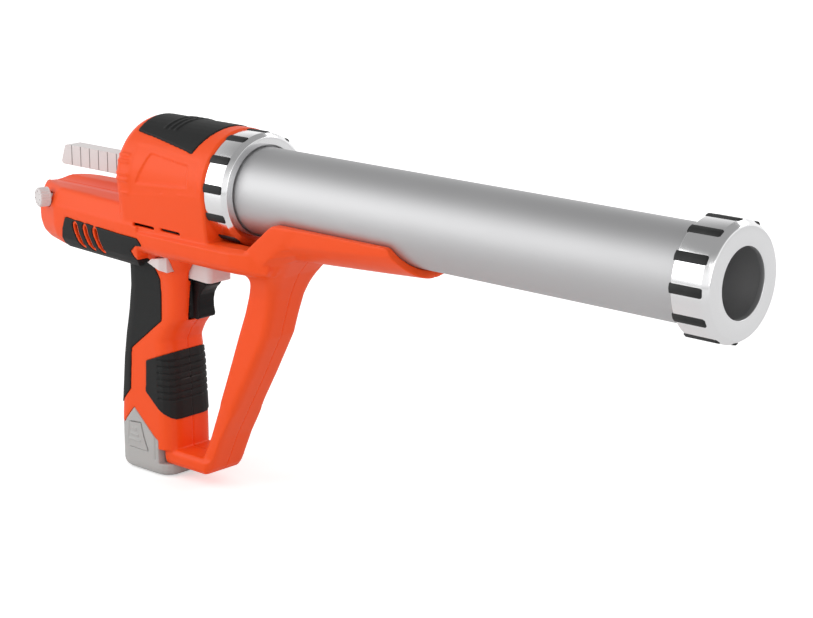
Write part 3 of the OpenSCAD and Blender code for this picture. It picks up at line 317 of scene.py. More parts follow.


# Finishes by the name of the material slot. Size and depth are those of the pattern in the surface,
# colour is the name of a colour in the panel, and shade is the share of it that is left, as painted
# shade. Painted highlight on edges is given as how much lighter they are and how strongly it shows.
FINISHES = {
    "orange_shell": dict(colour="shell", roughness=0.42, size=0.6*MM, depth=0.03*MM, tint=0.05,
                         specular=0.28),
    # Black rubber with lighter edges as painted highlight
    "black_rubber": dict(colour="rubber", roughness=0.62, size=0.8*MM, depth=0.08*MM, tint=0.16,
                         spread=0.1, worn=(0.08, 0.6), specular=0.28),
    "light_grey_plastic": dict(colour="pale", roughness=0.4, size=0.5*MM, depth=0.03*MM),
    # Painted shade: the pale plastic at half its colour, for the faces inside the rod's grooves
    "groove_shade": dict(colour="pale", shade=0.5, roughness=0.6, size=0.5*MM, depth=0.03*MM),
    "battery_plastic": dict(colour="battery", roughness=0.46, size=0.7*MM, depth=0.05*MM),
    # Black plastic with lighter edges as painted highlight
    "black_plastic": dict(colour="black", roughness=0.36, size=0.7*MM, depth=0.04*MM, tint=0.12,
                          spread=0.1, worn=(0.06, 0.5), specular=0.18),
    "dark_plastic": dict(colour="dark", roughness=0.45, size=0.9*MM, depth=0.06*MM, tint=0.2,
                         effect=turned_lines),
    "nylon": dict(colour="nylon", roughness=0.5, size=0.9*MM, depth=0.03*MM),
    "satin_aluminium": dict(colour="tube", roughness=0.58, size=0.35*MM, depth=0.02*MM, tint=0.04,
                            spread=0.05, metallic=1.0),
    "bright_aluminium": dict(colour="ring", roughness=0.14, size=0.25*MM, depth=0.004*MM,
                             spread=0.06, effect=turned_lines, metallic=1.0),
    "steel": dict(colour="steel", roughness=0.3, size=0.4*MM, depth=0.02*MM, tint=0.08, spread=0.12,
                  effect=brushed_lines, metallic=1.0),
    "bronze": dict(colour="bronze", roughness=0.42, size=0.4*MM, depth=0.04*MM, tint=0.15,
                   spread=0.1, metallic=1.0),
    "die_cast": dict(colour="cast", roughness=0.5, size=0.9*MM, depth=0.08*MM, tint=0.12,
                     spread=0.12, metallic=1.0),
    "board_green": dict(colour="board", roughness=0.32, size=2*MM, depth=0.02*MM, tint=0.1),
    "dial_ink": dict(colour="ink", roughness=0.5, size=0.5*MM, depth=0.01*MM),
}


def make_finish(name, colour, roughness, size, depth, tint=0.03, spread=0.08, shade=1.0, worn=None,
                effect=moulded_grain, metallic=0.0, specular=0.5):
    """Material with an effect, a bump and, where given, edges lightened as painted highlight."""
    rgb = tuple(shade*part for part in getattr(bpy.context.scene.caulk_finish, colour))
    material = bpy.data.materials.new(name)
    material.use_nodes = True
    material.diffuse_color = (*rgb, 1)
    tree = material.node_tree
    shader = tree.nodes["Principled BSDF"]
    shader.inputs["Metallic"].default_value = metallic
    shader.inputs["Specular IOR Level"].default_value = specular
    group = tree.nodes.new("ShaderNodeGroup")
    group.node_tree = effect()
    for key, value in (("Colour", (*rgb, 1)), ("Roughness", roughness), ("Size", size),
                       ("Tint", tint), ("Spread", spread)):
        group.inputs[key].default_value = value
    tinted = group.outputs["Colour"]
    # Painted highlight: mix a lighter colour into the sharp edges
    if worn is not None:
        lighter, amount = worn
        highlight_node = tree.nodes.new("ShaderNodeGroup")
        highlight_node.node_tree = edge_wear()
        highlight_node.inputs["Worn"].default_value = (*(part + (1 - part)*lighter for part in rgb), 1)
        highlight_node.inputs["Amount"].default_value = amount
        link(tree, tinted, highlight_node.inputs["Colour"])
        tinted = highlight_node.outputs["Colour"]
    link(tree, tinted, shader.inputs["Base Color"])
    link(tree, group.outputs["Roughness"], shader.inputs["Roughness"])
    bump = add_node(tree, "ShaderNodeBump", {"Strength": 0.5, "Distance": depth,
                                             "Height": group.outputs["Height"]})
    link(tree, bump.outputs[0], shader.inputs["Normal"])


def material_for(slot):
    """The finish of a material slot, made the first time that a piece asks for it."""
    name = slot + "_finish"
    if name not in bpy.data.materials:
        make_finish(name, **FINISHES[slot])
    return bpy.data.materials[name]


# Meshes

def new_object(name, data):
    piece = bpy.data.objects.new(name, data)
    bpy.context.scene.collection.objects.link(piece)
    return piece


def mesh_from(name, points, faces):
    mesh = bpy.data.meshes.new(name)
    mesh.from_pydata([tuple(p) for p in points], [], faces)
    mesh.update()
    return mesh


@contextmanager
def editing(mesh):
    """Edit mesh of a mesh, which is written back to it."""
    work = bmesh.new()
    work.from_mesh(mesh)
    yield work
    work.to_mesh(mesh)
    work.free()


def evaluated_mesh(piece):
    """Plain mesh of what a piece's modifiers or its curves make."""
    deps = bpy.context.evaluated_depsgraph_get()
    return bpy.data.meshes.new_from_object(piece.evaluated_get(deps), depsgraph=deps)


def settle(piece):
    """Turn the piece's modifiers into its plain mesh."""
    mesh = evaluated_mesh(piece)
    piece.modifiers.clear()
    piece.data = mesh


def apply(piece, kind, **settings):
    """Put a piece through one modifier and keep the result."""
    modifier = piece.modifiers.new(kind.lower(), kind)
    for key, value in settings.items():
        setattr(modifier, key, value)
    settle(piece)


def outward(mesh):
    """Merge doubles and turn the faces outwards."""
    with editing(mesh) as work:
        bmesh.ops.remove_doubles(work, verts=work.verts, dist=MERGE)
        bmesh.ops.recalc_face_normals(work, faces=work.faces)


def copy_of(node, name):
    """Merged copy of a node's mesh."""
    mesh = bpy.data.meshes.new(name)
    with editing(mesh) as work:
        work.from_mesh(NODES[node].data)
        bmesh.ops.remove_doubles(work, verts=work.verts, dist=MERGE)
    return new_object(name, mesh)


def join_flat_faces(mesh):
    """Join the triangles of each flat face."""
    with editing(mesh) as work:
        bmesh.ops.dissolve_limit(work, angle_limit=math.radians(0.5), verts=work.verts,
                                 edges=work.edges)


def merge(piece, others):
    """Add other pieces' meshes to a piece's. The others go."""
    with editing(piece.data) as work:
        for other in others:
            work.from_mesh(other.data)
    for other in others:
        bpy.data.objects.remove(other)


def cut(piece, other, operation="DIFFERENCE", keep=False):
    """Cut a piece with another, which goes unless it is kept."""
    apply(piece, "BOOLEAN", operation=operation, solver="EXACT", object=other)
    if not keep:
        bpy.data.objects.remove(other)


def skinned(name, sections):
    """Closed piece through sections that have equally many points."""
    count, last = len(sections[0]), len(sections) - 1
    faces = [tuple(range(count)), tuple(range(last*count, (last + 1)*count))]
    for start in range(0, last*count, count):
        for k in range(count):
            after = (k + 1) % count
            faces.append((start + k, start + after, start + count + after, start + count + k))
    piece = new_object(name, mesh_from(name, [point for section in sections for point in section],
                                       faces))
    outward(piece.data)
    return piece


def circle(radius, count):
    """Points of a circle round a centre at zero."""
    angles = [2*math.pi*k/count for k in range(count)]
    return [(radius*math.cos(angle), radius*math.sin(angle)) for angle in angles]


def from_dome(x, y, z):
    """Place that is given in millimetres from the dome's front."""
    return DOME_FRONT + x*MM, y*MM, z*MM


def side_prism(name, outline, left, right=None):
    """Prism from right to left of an outline of (x, z) points, all from the dome's front."""
    return skinned(name, [[from_dome(x, y, z) for x, z in outline]
                          for y in (-left if right is None else right, left)])


def lofted(name, rows, drawn_in=0.0, side=0):
    """Piece through rounded rectangles of (height, rear, front, half width, corner).

    They are in millimetres from the dome's front, drawn in by drawn_in. A side keeps that half alone.
    """
    steps = 6
    sections = []
    for z, rear, front, half, corner in rows:
        radius, middle = corner - drawn_in, half - corner
        centres = ((front - corner, middle), (rear + corner, middle), (rear + corner, -middle),
                   (front - corner, -middle))
        section = []
        for i, (x, y) in enumerate(centres):
            for k in range(steps + 1):
                angle = math.pi/2*(i + k/steps)
                across = y + radius*math.sin(angle)
                if side:
                    across = side*max(side*across, 0)
                section.append(from_dome(x + radius*math.cos(angle), across, z))
        sections.append(section)
    return skinned(name, sections)


def even_vertices(mesh, angle):
    """Vertices that lie away from every edge sharper than the angle."""
    count = len(mesh.vertices)
    ends = np.empty(2*len(mesh.edges), np.int32)
    mesh.edges.foreach_get("vertices", ends)
    one, two = ends.reshape(-1, 2).T
    normal = np.empty(3*count, np.float32)
    mesh.vertex_normals.foreach_get("vector", normal)
    normal = normal.reshape(-1, 3)
    bend = 1 - (normal[one]*normal[two]).sum(1)
    worst = np.zeros(count, np.float32)
    np.maximum.at(worst, one, bend)
    np.maximum.at(worst, two, bend)
    edges_away = 2
    for _ in range(edges_away):
        spread = worst.copy()
        np.maximum.at(spread, one, worst[two])
        np.maximum.at(spread, two, worst[one])
        worst = spread
    return np.nonzero(worst < 1 - math.cos(angle))[0].tolist()


def smooth(piece, degrees):
    """Shade a piece smoothly, except at edges that are sharper than the angle."""
    piece.data.shade_smooth()
    piece.data.set_sharp_from_angle(angle=math.radians(degrees))


def mould(piece, cell, edge_passes=None, most=None):
    """Give a piece a moulding's surface: rounded edges, and curves without facets."""
    style = bpy.context.scene.caulk_moulding
    apply(piece, "REMESH", mode="VOXEL", voxel_size=cell)
    apply(piece, "SMOOTH", factor=0.5, iterations=edge_passes or style.edge_passes)
    group = piece.vertex_groups.new(name="even")
    group.add(even_vertices(piece.data, style.facet_angle), 1.0, "REPLACE")
    apply(piece, "SMOOTH", factor=0.5, iterations=style.even_passes, vertex_group="even")
    piece.vertex_groups.clear()
    most = most or style.most_triangles
    triangles = sum(len(p.vertices) - 2 for p in piece.data.polygons)
    if triangles > most:
        apply(piece, "DECIMATE", ratio=most/triangles)
    piece.data.shade_smooth()


def dress(piece, slot, body, *nodes):
    """Give a piece its finish and its body, and hide the nodes that it stands for."""
    piece.data.materials.clear()
    piece.data.materials.append(material_for(slot))
    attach(piece, body)
    if nodes:
        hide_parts(*nodes)
    return piece


def mould_node(node, cell, edge_passes=None, most=None, shape=None):
    """A node's moulded piece, which stands for it. A shape function may work on its mesh first."""
    piece = copy_of(node, node + "_moulded")
    if shape:
        shape(piece)
    mould(piece, cell, edge_passes, most)
    return dress(piece, SLOT_OF[node], BODY_OF[node], node)


def finish_nodes(*names):
    """Give nodes whose shape is right their finish."""
    for name in names:
        for slot in NODES[name].material_slots:
            slot.material = material_for(SLOT_OF[name])


def run_tree(piece, tree, **values):
    """Put a piece through a geometry tree, with its inputs set by name, and keep the result."""
    modifier = piece.modifiers.new(tree.name, "NODES")
    modifier.node_group = tree
    for item in tree.interface.items_tree:
        if item.item_type == "SOCKET" and item.in_out == "INPUT" and item.name in values:
            modifier[item.identifier] = values[item.name]
    settle(piece)


def geometry_tree(name, **inputs):
    """Geometry tree with these inputs, a geometry and a material. Returns it and its inputs."""
    tree = bpy.data.node_groups.new(name, "GeometryNodeTree")
    sockets(tree, "INPUT", Geometry="Geometry", **inputs, Material="Material")
    sockets(tree, "OUTPUT", Geometry="Geometry")
    return tree, tree.nodes.new("NodeGroupInput").outputs


def close_tree(tree, geometry, material):
    """End a tree in real copies that have the material."""
    whole = add_node(tree, "GeometryNodeRealizeInstances", {0: geometry})
    coat = add_node(tree, "GeometryNodeSetMaterial", {"Geometry": whole.outputs[0],
                                                      "Material": material})
    add_node(tree, "NodeGroupOutput", {0: coat.outputs[0]})


@built_once
def copies_round_axis(name):
    """Copies of a piece, set evenly round an axis through a centre."""
    tree, values = geometry_tree(name, Count="Int", Axis="Vector", Centre="Vector", Start="Float")
    points = add_node(tree, "GeometryNodePoints", {"Count": values["Count"],
                                                   "Position": values["Centre"]})
    step = math_node(tree, "DIVIDE", 2*math.pi, values["Count"])
    steps = math_node(tree, "MULTIPLY", tree.nodes.new("GeometryNodeInputIndex").outputs[0], step)
    turn = add_node(tree, "FunctionNodeAxisAngleToRotation", {
        "Axis": values["Axis"], "Angle": math_node(tree, "ADD", steps, values["Start"])})
    spread = add_node(tree, "GeometryNodeInstanceOnPoints", {
        "Points": points.outputs[0], "Instance": values["Geometry"], "Rotation": turn.outputs[0]})
    close_tree(tree, spread.outputs[0], values["Material"])


@built_once
def turned_form(name):
    """Closed outline in the XZ plane, turned about the X axis."""
    tree, values = geometry_tree(name, Segments="Int")
    size = add_node(tree, "GeometryNodeAttributeDomainSize", {0: values["Geometry"]})
    count = size.outputs["Point Count"]
    grid = add_node(tree, "GeometryNodeMeshGrid", {
        "Size X": 1, "Size Y": 1, "Vertices X": math_node(tree, "ADD", count, 1),
        "Vertices Y": math_node(tree, "ADD", values["Segments"], 1)})
    position = tree.nodes.new("GeometryNodeInputPosition").outputs[0]
    place = add_node(tree, "ShaderNodeSeparateXYZ", {0: position}).outputs
    along = math_node(tree, "MULTIPLY", math_node(tree, "ADD", place["X"], 0.5), count)
    index = math_node(tree, "MODULO", math_node(tree, "ROUND", along), count)
    angle = math_node(tree, "MULTIPLY", math_node(tree, "ADD", place["Y"], 0.5), 2*math.pi)
    sample = add_node(tree, "GeometryNodeSampleIndex", {
        "Geometry": values["Geometry"], "Value": position, "Index": index}, data_type="FLOAT_VECTOR")
    outline = add_node(tree, "ShaderNodeSeparateXYZ", {0: sample.outputs[0]}).outputs
    spot = add_node(tree, "ShaderNodeCombineXYZ", {
        "X": outline["X"],
        "Y": math_node(tree, "MULTIPLY", outline["Z"], math_node(tree, "SINE", angle)),
        "Z": math_node(tree, "MULTIPLY", outline["Z"], math_node(tree, "COSINE", angle))})
    move = add_node(tree, "GeometryNodeSetPosition", {"Geometry": grid.outputs[0],
                                                      "Position": spot.outputs[0]})
    close_tree(tree, move.outputs[0], values["Material"])


def rounded_outline(corners, steps=4):
    """Outline of (x, radius, rounding) corners, with an arc at each corner that has a rounding."""
    most = 0.45  # of a side, for one corner
    points = []
    for i, (x, r, rounding) in enumerate(corners):
        here = Vector((x, r))
        before = Vector(corners[i - 1][:2]) - here
        after = Vector(corners[(i + 1) % len(corners)][:2]) - here
        if rounding == 0:
            points.append(here)
            continue
        one, two = before.normalized(), after.normalized()
        half = one.angle(two)/2
        reach = min(rounding/math.tan(half), most*before.length, most*after.length)
        radius = reach*math.tan(half)
        centre = here + (one + two).normalized()*(radius/math.sin(half))
        start, end = here + one*reach - centre, here + two*reach - centre
        sweep = start.angle_signed(end)
        for k in range(steps + 1):
            points.append(centre + Matrix.Rotation(-sweep*k/steps, 2) @ start)
    return points


def turned_piece(name, corners, segments, slot):
    """Piece turned about the barrel axis from an outline."""
    outline = rounded_outline(corners)
    piece = new_object(name, mesh_from(name, [(p.x, 0, p.y) for p in outline], []))
    run_tree(piece, turned_form(), Segments=segments, Material=material_for(slot))
    outward(piece.data)
    return piece


def slot_solid(name, rear, front, half, corner, low, high, crown):
    """Bar along +X over the barrel axis, with rounded front corners and a ridge as high as crown."""
    steps = 5
    stations = [(rear, half)]
    for turn in (math.pi/2*i/steps for i in range(steps + 1)):
        stations.append((front - corner + corner*math.sin(turn),
                         half - corner + corner*math.cos(turn)))
    # Edges of its sides and of its ridge, as shares of the half width and of the crown
    (side, side_drop), (ridge, ridge_drop) = (0.94, 0.86), (0.12, 0.06)
    left = [(-1, low), (-1, high - crown), (-side, high - side_drop*crown),
            (-ridge, high - ridge_drop*crown)]
    shape = left + [(-y, z) for y, z in reversed(left)]
    return skinned(name, [[(x, y*wide, z) for y, z in shape] for x, wide in stations])


# Housing, in millimetres from the dome's front

# Short ribs round the dome's rear corner: their heights, and the place and rise of their sections
RIB_HEIGHTS = (16, 12, 4, 0, -9, -13)
RIB_SECTIONS = ((-85.4, -3.4), (-84, -0.9), (-81, 0.5), (-78, 1), (-73, 1), (-71, 0.4), (-70, -0.6))
# Radius of the dome's side, and how far a rib stands out, how wide it is and how deep its root lies
RIB_RADIUS, RIB_STAND, RIB_WIDTH, RIB_ROOT = 38, 0.9, 2.0, 4.4
# Share of its width that is left where a rib has sunk into the dome
RIB_END = 0.6
# Half the width of a cutter that goes right through the housing
THROUGH = 60
# Room in front of the cradle, whose front end runs from its crest down to its tip
CRADLE_END = ((149.8, -9), (150.6, -12), (152.6, -16.2), (154.6, -19.4), (157.2, -23), (160, -26.6),
              (162.2, -29.2), (163.2, -31.2), (162.8, -33), (161, -36), (190, -36), (190, -9))
# Top of the guard strut, flared into the rail and the cradle: height, rear, front, half width, corner
STRUT_FLARE = ((-34, 22, 54.5, 30, 9), (-44, 20.5, 50.2, 28, 9), (-50.2, 14.5, 47.4, 24.4, 8),
               (-52, 18.4, 46.4, 22.8, 8), (-55, 19.4, 44.8, 20.8, 7.5), (-59, 18.2, 42.7, 18.8, 7),
               (-67, 15, 39.2, 16.4, 6), (-80, 10.2, 35, 15, 5), (-94, 4.6, 30.5, 15, 5),
               (-124, -6.8, 14.2, 15, 5), (-146, -15.5, 1.5, 15, 5))
# Wall that joins the rail's side to the cradle's: height, then place along and half width at its
# rear, middle and front
CRADLE_ROOT = ((-48, 18, 33, 40, 29.5, 48, 22), (-40, 24, 33.4, 46, 31, 54, 22),
               (-34, 30.5, 33.2, 53, 31.6, 66, 18), (-28, 37.5, 32.8, 59, 31.5, 84, 16),
               (-22, 44.5, 32.4, 64, 31.3, 90, 23), (-15, 52.5, 31.8, 70, 31, 92, 28),
               (-13, 55.5, 31.4, 72, 30.8, 92, 29))
# Room for the barrel and for the rear ring: radius, start and end
ROOT_CUTS = ((28.35, -5, 130), (38.25, -5, 34))
# Screws of the rail and of the strut: place along and up, and the head's seat on the left side
RAIL_SCREW, STRUT_SCREW = (42, -44, 12), (-4, -140, 8)
# Their holes: radius and start of the shank's, on the right side, and radius of the head's
SHANK_RADIUS, SHANK_START, HEAD_RADIUS = 1.7, -14, 3.4
# Block round the strut's lower end and the foot, and what stays of them, drawn back at the front
FOOT_BLOCK = ((-50, -145), (60, -145), (60, -206), (-50, -206))
FOOT_KEPT = ((-140, -120, 5, 17.4, 6), (-170, -120, -12.3, 17.4, 6), (-186, -120, -19.7, 17.4, 6),
             (-194, -120, -23.4, 17.4, 6), (-198.5, -120, -28, 17.4, 5), (-210, -120, -28, 17.4, 5))
# Plan outside the rail's rounded front corners, and the heights that it is cut between
RAIL_CORNER = ((22, 36.7), (36, 33.8), (48, 29.6), (56, 25.1), (56, 45), (22, 45))
CORNER_HEIGHTS = (-51, -31)


class CAULK_OT_housing(Operator):
    """Mould both halves of the housing, with its flared strut and the dome's ribs"""
    bl_idname = "caulk.housing"
    bl_label = "Housing"

    def execute(self, context):
        cutters = [side_prism("cradle_cutter", CRADLE_END, THROUGH), self.foot_cutter(),
                   self.corner_cutter(-1), self.corner_cutter(1)]
        for node, side in (("housing_right", -1), ("housing_left", 1)):
            mould_node(node, context.scene.caulk_moulding.shell_cell,
                       shape=lambda piece: self.shape_half(piece, side, cutters))
        for cutter in cutters:
            bpy.data.objects.remove(cutter)
        return {"FINISHED"}

    def shape_half(self, piece, side, cutters):
        """Cut one half and add its flare, root and ribs, which its moulding makes one with it."""
        for cutter in cutters:
            cut(piece, cutter, keep=True)
        flare = lofted("strut_flare", STRUT_FLARE, side=side)
        self.cut_screw(flare, *RAIL_SCREW)
        self.cut_screw(flare, *STRUT_SCREW)
        merge(piece, [flare, self.cradle_root(side), *(self.rib(z, side) for z in RIB_HEIGHTS)])

    def rib(self, height, side):
        """Short raised rib along the rear corner of the dome, at a height on its round side."""
        middle = math.asin(height/RIB_RADIUS)
        sections = []
        for x, rise in RIB_SECTIONS:
            raised = rise > 0
            top = RIB_RADIUS + rise*(RIB_STAND if raised else 1)
            half_turn = RIB_WIDTH/2/RIB_RADIUS*(1 if raised else RIB_END)
            root = RIB_RADIUS - RIB_ROOT
            corners = ((-half_turn, root), (-half_turn, top), (half_turn, top), (half_turn, root))
            sections.append([from_dome(x, side*radius*math.cos(middle + turn),
                                       radius*math.sin(middle + turn)) for turn, radius in corners])
        return skinned("rib", sections)

    def cradle_root(self, side):
        """Wall between the rail and the cradle, clear of the barrel, its ring and a screw."""
        sections = []
        for z, rear, rear_half, middle, middle_half, front, front_half in CRADLE_ROOT:
            plan = ((rear, 0), (rear, rear_half), (middle, middle_half), (front, front_half),
                    (front, 0))
            sections.append([from_dome(x, side*y, z) for x, y in plan])
        wall = skinned("cradle_root", sections)
        for radius, start, end in ROOT_CUTS:
            cut(wall, self.round_bar(radius, start, end))
        self.cut_screw(wall, *RAIL_SCREW)
        return wall

    def round_bar(self, radius, start, end):
        """Round cutter on the barrel's axis."""
        return skinned("round_bar", [[from_dome(x, y, z) for y, z in circle(radius, 96)]
                                     for x in (start, end)])

    def cut_screw(self, piece, x, z, seat):
        """Cut a screw's hole, wider from its seat out to the left, where its head goes in."""
        for radius, start in ((SHANK_RADIUS, SHANK_START), (HEAD_RADIUS, seat)):
            outline = [(x + along, z + up) for along, up in circle(radius, 24)]
            cut(piece, side_prism("screw_hole", outline, THROUGH, start))

    def foot_cutter(self):
        """Block without what stays of the strut's lower end and the foot."""
        block = side_prism("foot_cutter", FOOT_BLOCK, THROUGH)
        cut(block, lofted("foot_kept", FOOT_KEPT))
        return block

    def corner_cutter(self, side):
        """Prism outside one front corner of the rail."""
        return skinned("corner_cutter", [[from_dome(x, side*y, z) for x, y in RAIL_CORNER]
                                         for z in CORNER_HEIGHTS])


# Handle where the front grips lie: height, rear, front, half width and corner
HANDLE_ROWS = ((-112, -105, -59.5, 19.6, 11), (-130, -107.5, -57.5, 20, 11),
               (-170, -111, -56, 20.5, 11))
# Outline of a front grip's grooved field
FRONT_GRIP = ((-78.9, -127.4), (-54, -117.4), (-44, -117.4), (-44, -165.6), (-57, -165.4),
              (-66.5, -159.8), (-79.8, -148.9))
# How deep the floor of its grooves lies in the handle, and how thick it is
GROOVE_DEPTH, FLOOR_THICKNESS = 0.3, 1.0
# Triangles that one cover may have
COVER_TRIANGLES = 90000


class CAULK_OT_covers(Operator):
    """Mould the rubber covers of the dome, the tail and the handle"""
    bl_idname = "caulk.covers"
    bl_label = "Rubber covers"

    def execute(self, context):
        cell = context.scene.caulk_moulding.cover_cell
        for node in ("top_cover", "rear_grip_right", "rear_grip_left"):
            mould_node(node, cell, most=COVER_TRIANGLES)
        for node, side in (("front_grip_right", -1), ("front_grip_left", 1)):
            mould_node(node, cell, most=COVER_TRIANGLES,
                       shape=lambda piece: self.close_grooves(piece, side))
        return {"FINISHED"}

    def close_grooves(self, piece, side):
        """Give the grooves between the finger ribs a rubber floor."""
        floor = lofted("groove_floor", HANDLE_ROWS, GROOVE_DEPTH, side)
        cut(floor, lofted("handle_core", HANDLE_ROWS, GROOVE_DEPTH + FLOOR_THICKNESS))
        cut(floor, side_prism("grip_outline", FRONT_GRIP, THROUGH), "INTERSECT")
        merge(piece, [floor])


class CAULK_OT_tube(Operator):
    """Turn the barrel tube with its rear flange"""
    bl_idname = "caulk.tube"
    bl_label = "Barrel tube"

    def execute(self, context):
        size = context.scene.caulk_barrel
        low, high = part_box("barrel_tube")
        outer, inner = size.tube_radius, size.tube_radius - size.tube_wall
        flange, edge = high[2], 0.25*MM
        step = low[0] + size.flange_length
        piece = turned_piece("barrel_tube_turned", [
            (low[0], inner, edge), (high[0], inner, edge), (high[0], outer, edge),
            (step, outer, edge), (step, flange, edge), (low[0], flange, edge)],
            size.segments, "satin_aluminium")
        smooth(piece, 40)
        dress(piece, "satin_aluminium", "barrel", "barrel_tube")
        return {"FINISHED"}


class CAULK_OT_rings(Operator):
    """Turn the two rings, cut their pockets and set the rubber inserts in them"""
    bl_idname = "caulk.rings"
    bl_label = "Rings"

    def execute(self, context):
        size = context.scene.caulk_barrel
        edge, bevel_edge, bevel = 0.3*MM, 0.5*MM, 2.5*MM

        low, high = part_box("front_ring")
        rear, front, radius = low[0], high[0], high[2]
        seat = size.tube_radius + size.seat_gap
        face_edge, bevel_length, chamfer = 1.4*MM, 4*MM, 1*MM
        self.ring(size, "front_ring", front - size.front_margin, 0.0, [
            (front, size.nozzle_radius, edge), (front, radius - bevel, face_edge),
            (front - bevel_length, radius, bevel_edge), (rear + chamfer, radius, edge),
            (rear, radius - chamfer, edge), (rear, seat, edge), (front - size.lip, seat, 0),
            (front - size.lip, size.nozzle_radius, edge)])
        self.dull_bore(size)

        low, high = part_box("rear_ring")
        rear, front, radius = low[0], high[0], high[2]
        thread_depth, lip_room = 2.4*MM, 1.4*MM
        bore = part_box("barrel_socket")[1][2] - thread_depth + size.seat_gap
        lip_radius = size.tube_radius + lip_room
        bevel_length, chamfer = 3*MM, 0.6*MM
        self.ring(size, "rear_ring", front - size.rear_margin, size.rear_turn, [
            (rear, bore, edge), (front - size.lip, bore, 0), (front - size.lip, lip_radius, edge),
            (front, lip_radius, edge), (front, radius - bevel, bevel_edge),
            (front - bevel_length, radius, bevel_edge), (rear + chamfer, radius, edge),
            (rear, radius - chamfer, edge)])
        return {"FINISHED"}

    def ring(self, size, node, inserts_front, start, corners):
        """Ring turned from its outline, with its pockets cut, and the inserts in them."""
        low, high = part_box(node)
        rear, radius = low[0], high[2]
        floor, gap, past = radius - size.insert_depth, size.insert_gap, 4*MM
        cutter = slot_solid("pocket_cutter", rear - past, inserts_front, size.insert_width/2,
                            size.insert_corner, floor, radius + past, 0)
        self.set_round(size, cutter, start, "bright_aluminium")
        piece = turned_piece(node + "_turned", corners, size.segments, "bright_aluminium")
        cut(piece, cutter)
        outward(piece.data)
        smooth(piece, 28)
        dress(piece, "bright_aluminium", BODY_OF[node], node)

        crown_share = 0.75
        inserts = slot_solid(node + "_inserts_rubber", rear, inserts_front - gap,
                             size.insert_width/2 - gap, size.insert_corner, floor + gap,
                             radius + size.insert_stand, crown_share*size.insert_stand)
        self.set_round(size, inserts, start, "black_rubber")
        smooth(inserts, 38)
        dress(inserts, "black_rubber", BODY_OF[node], node + "_inserts")

    def set_round(self, size, piece, start, slot):
        """Set copies of an insert or a cutter round the barrel's axis."""
        run_tree(piece, copies_round_axis(), Count=size.insert_count, Axis=(1.0, 0.0, 0.0),
                 Centre=(0.0, 0.0, 0.0), Start=start, Material=material_for(slot))

    def dull_bore(self, size):
        """Leave the nozzle hole's wall satin, where the polishing wheel doesn't reach."""
        mesh = bpy.data.objects["front_ring_turned"].data
        mesh.materials.append(material_for("satin_aluminium"))
        skin = 0.02*MM
        for face in mesh.polygons:
            if math.hypot(face.center.y, face.center.z) < size.nozzle_radius + skin:
                face.material_index = 1


class CAULK_OT_rod(Operator):
    """Soften the push rod's edges, paint shade into its grooves, and finish the piston and its nut"""
    bl_idname = "caulk.rod"
    bl_label = "Push rod"

    def execute(self, context):
        piece = copy_of("push_rod", "push_rod_edged")
        join_flat_faces(piece.data)
        apply(piece, "BEVEL", width=context.scene.caulk_moulding.rod_edge, segments=2,
              limit_method="ANGLE", angle_limit=math.radians(12))
        smooth(piece, 35)
        apply(piece, "WEIGHTED_NORMAL", keep_sharp=True)
        dress(piece, "light_grey_plastic", "rod", "push_rod")
        self.shade_grooves(piece.data)
        finish_nodes("piston", "piston_nut")
        return {"FINISHED"}

    def shade_grooves(self, mesh):
        """Give the faces inside the side grooves a darker colour, as painted shade."""
        low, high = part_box("push_rod")
        skin, depth, end = 0.03*MM, 0.5*MM, 2*MM
        # Painted shade: a darker material on the groove faces
        mesh.materials.append(material_for("groove_shade"))
        for face in mesh.polygons:
            x, y, z = face.center
            in_side = high[1] - depth < abs(y) < high[1] - skin
            if in_side and abs(z) < high[2] - depth and x > low[0] + end:
                face.material_index = 1


class CAULK_OT_controls(Operator):
    """Mould the trigger, the release block, the lock-off button and the speed dial"""
    bl_idname = "caulk.controls"
    bl_label = "Controls"

    def execute(self, context):
        cell = context.scene.caulk_moulding.part_cell
        for node, cell_share, edge_passes in (("trigger", 1, 14), ("release_button", 1, 10),
                                              ("lock_off_button", 1, 6), ("speed_dial", 0.6, 3)):
            mould_node(node, cell_share*cell, edge_passes, most=60000)
        self.number_the_dial()
        return {"FINISHED"}

    def number_the_dial(self):
        """Plain numbers round the dial's face."""
        turn = next(j for j in frame["joints"] if j["name"] == "dial_turn")
        centre = Vector(turn["pos_m"])
        out = Vector(turn["axis"]).normalized()
        across = Vector((0, 0, 1)).cross(out).normalized()
        up = out.cross(across)
        height, ring_radius, thickness, lift, count = 1.9*MM, 4.3*MM, 0.03*MM, 0.02*MM, 7
        numbers = []
        for i in range(count):
            angle = 2*math.pi*i/count
            text = bpy.data.curves.new("dial_number", "FONT")
            text.body = str(i)
            text.size = height
            text.align_x = text.align_y = "CENTER"
            text.extrude = thickness
            written = new_object("dial_number", text)
            numbers.append(new_object("dial_number", evaluated_mesh(written)))
            bpy.data.objects.remove(written)
            radial = up*math.cos(angle) + across*math.sin(angle)
            place = Matrix((radial.cross(out), radial, out)).transposed().to_4x4()
            place.translation = centre + radial*ring_radius + out*lift
            numbers[-1].data.transform(place)
        whole = new_object("dial_numbers", bpy.data.meshes.new("dial_numbers"))
        merge(whole, numbers)
        outward(whole.data)
        dress(whole, "dial_ink", "dial")


class CAULK_OT_battery(Operator):
    """Mould the battery and its two latches"""
    bl_idname = "caulk.battery"
    bl_label = "Battery"

    def execute(self, context):
        style = context.scene.caulk_moulding
        case_cell, latch_cell = 1.2*style.cover_cell, 0.8*style.part_cell
        mould_node("battery", case_cell, edge_passes=4, most=120000)
        for node in ("battery_latch_right", "battery_latch_left"):
            mould_node(node, latch_cell, edge_passes=3, most=40000)
        return {"FINISHED"}


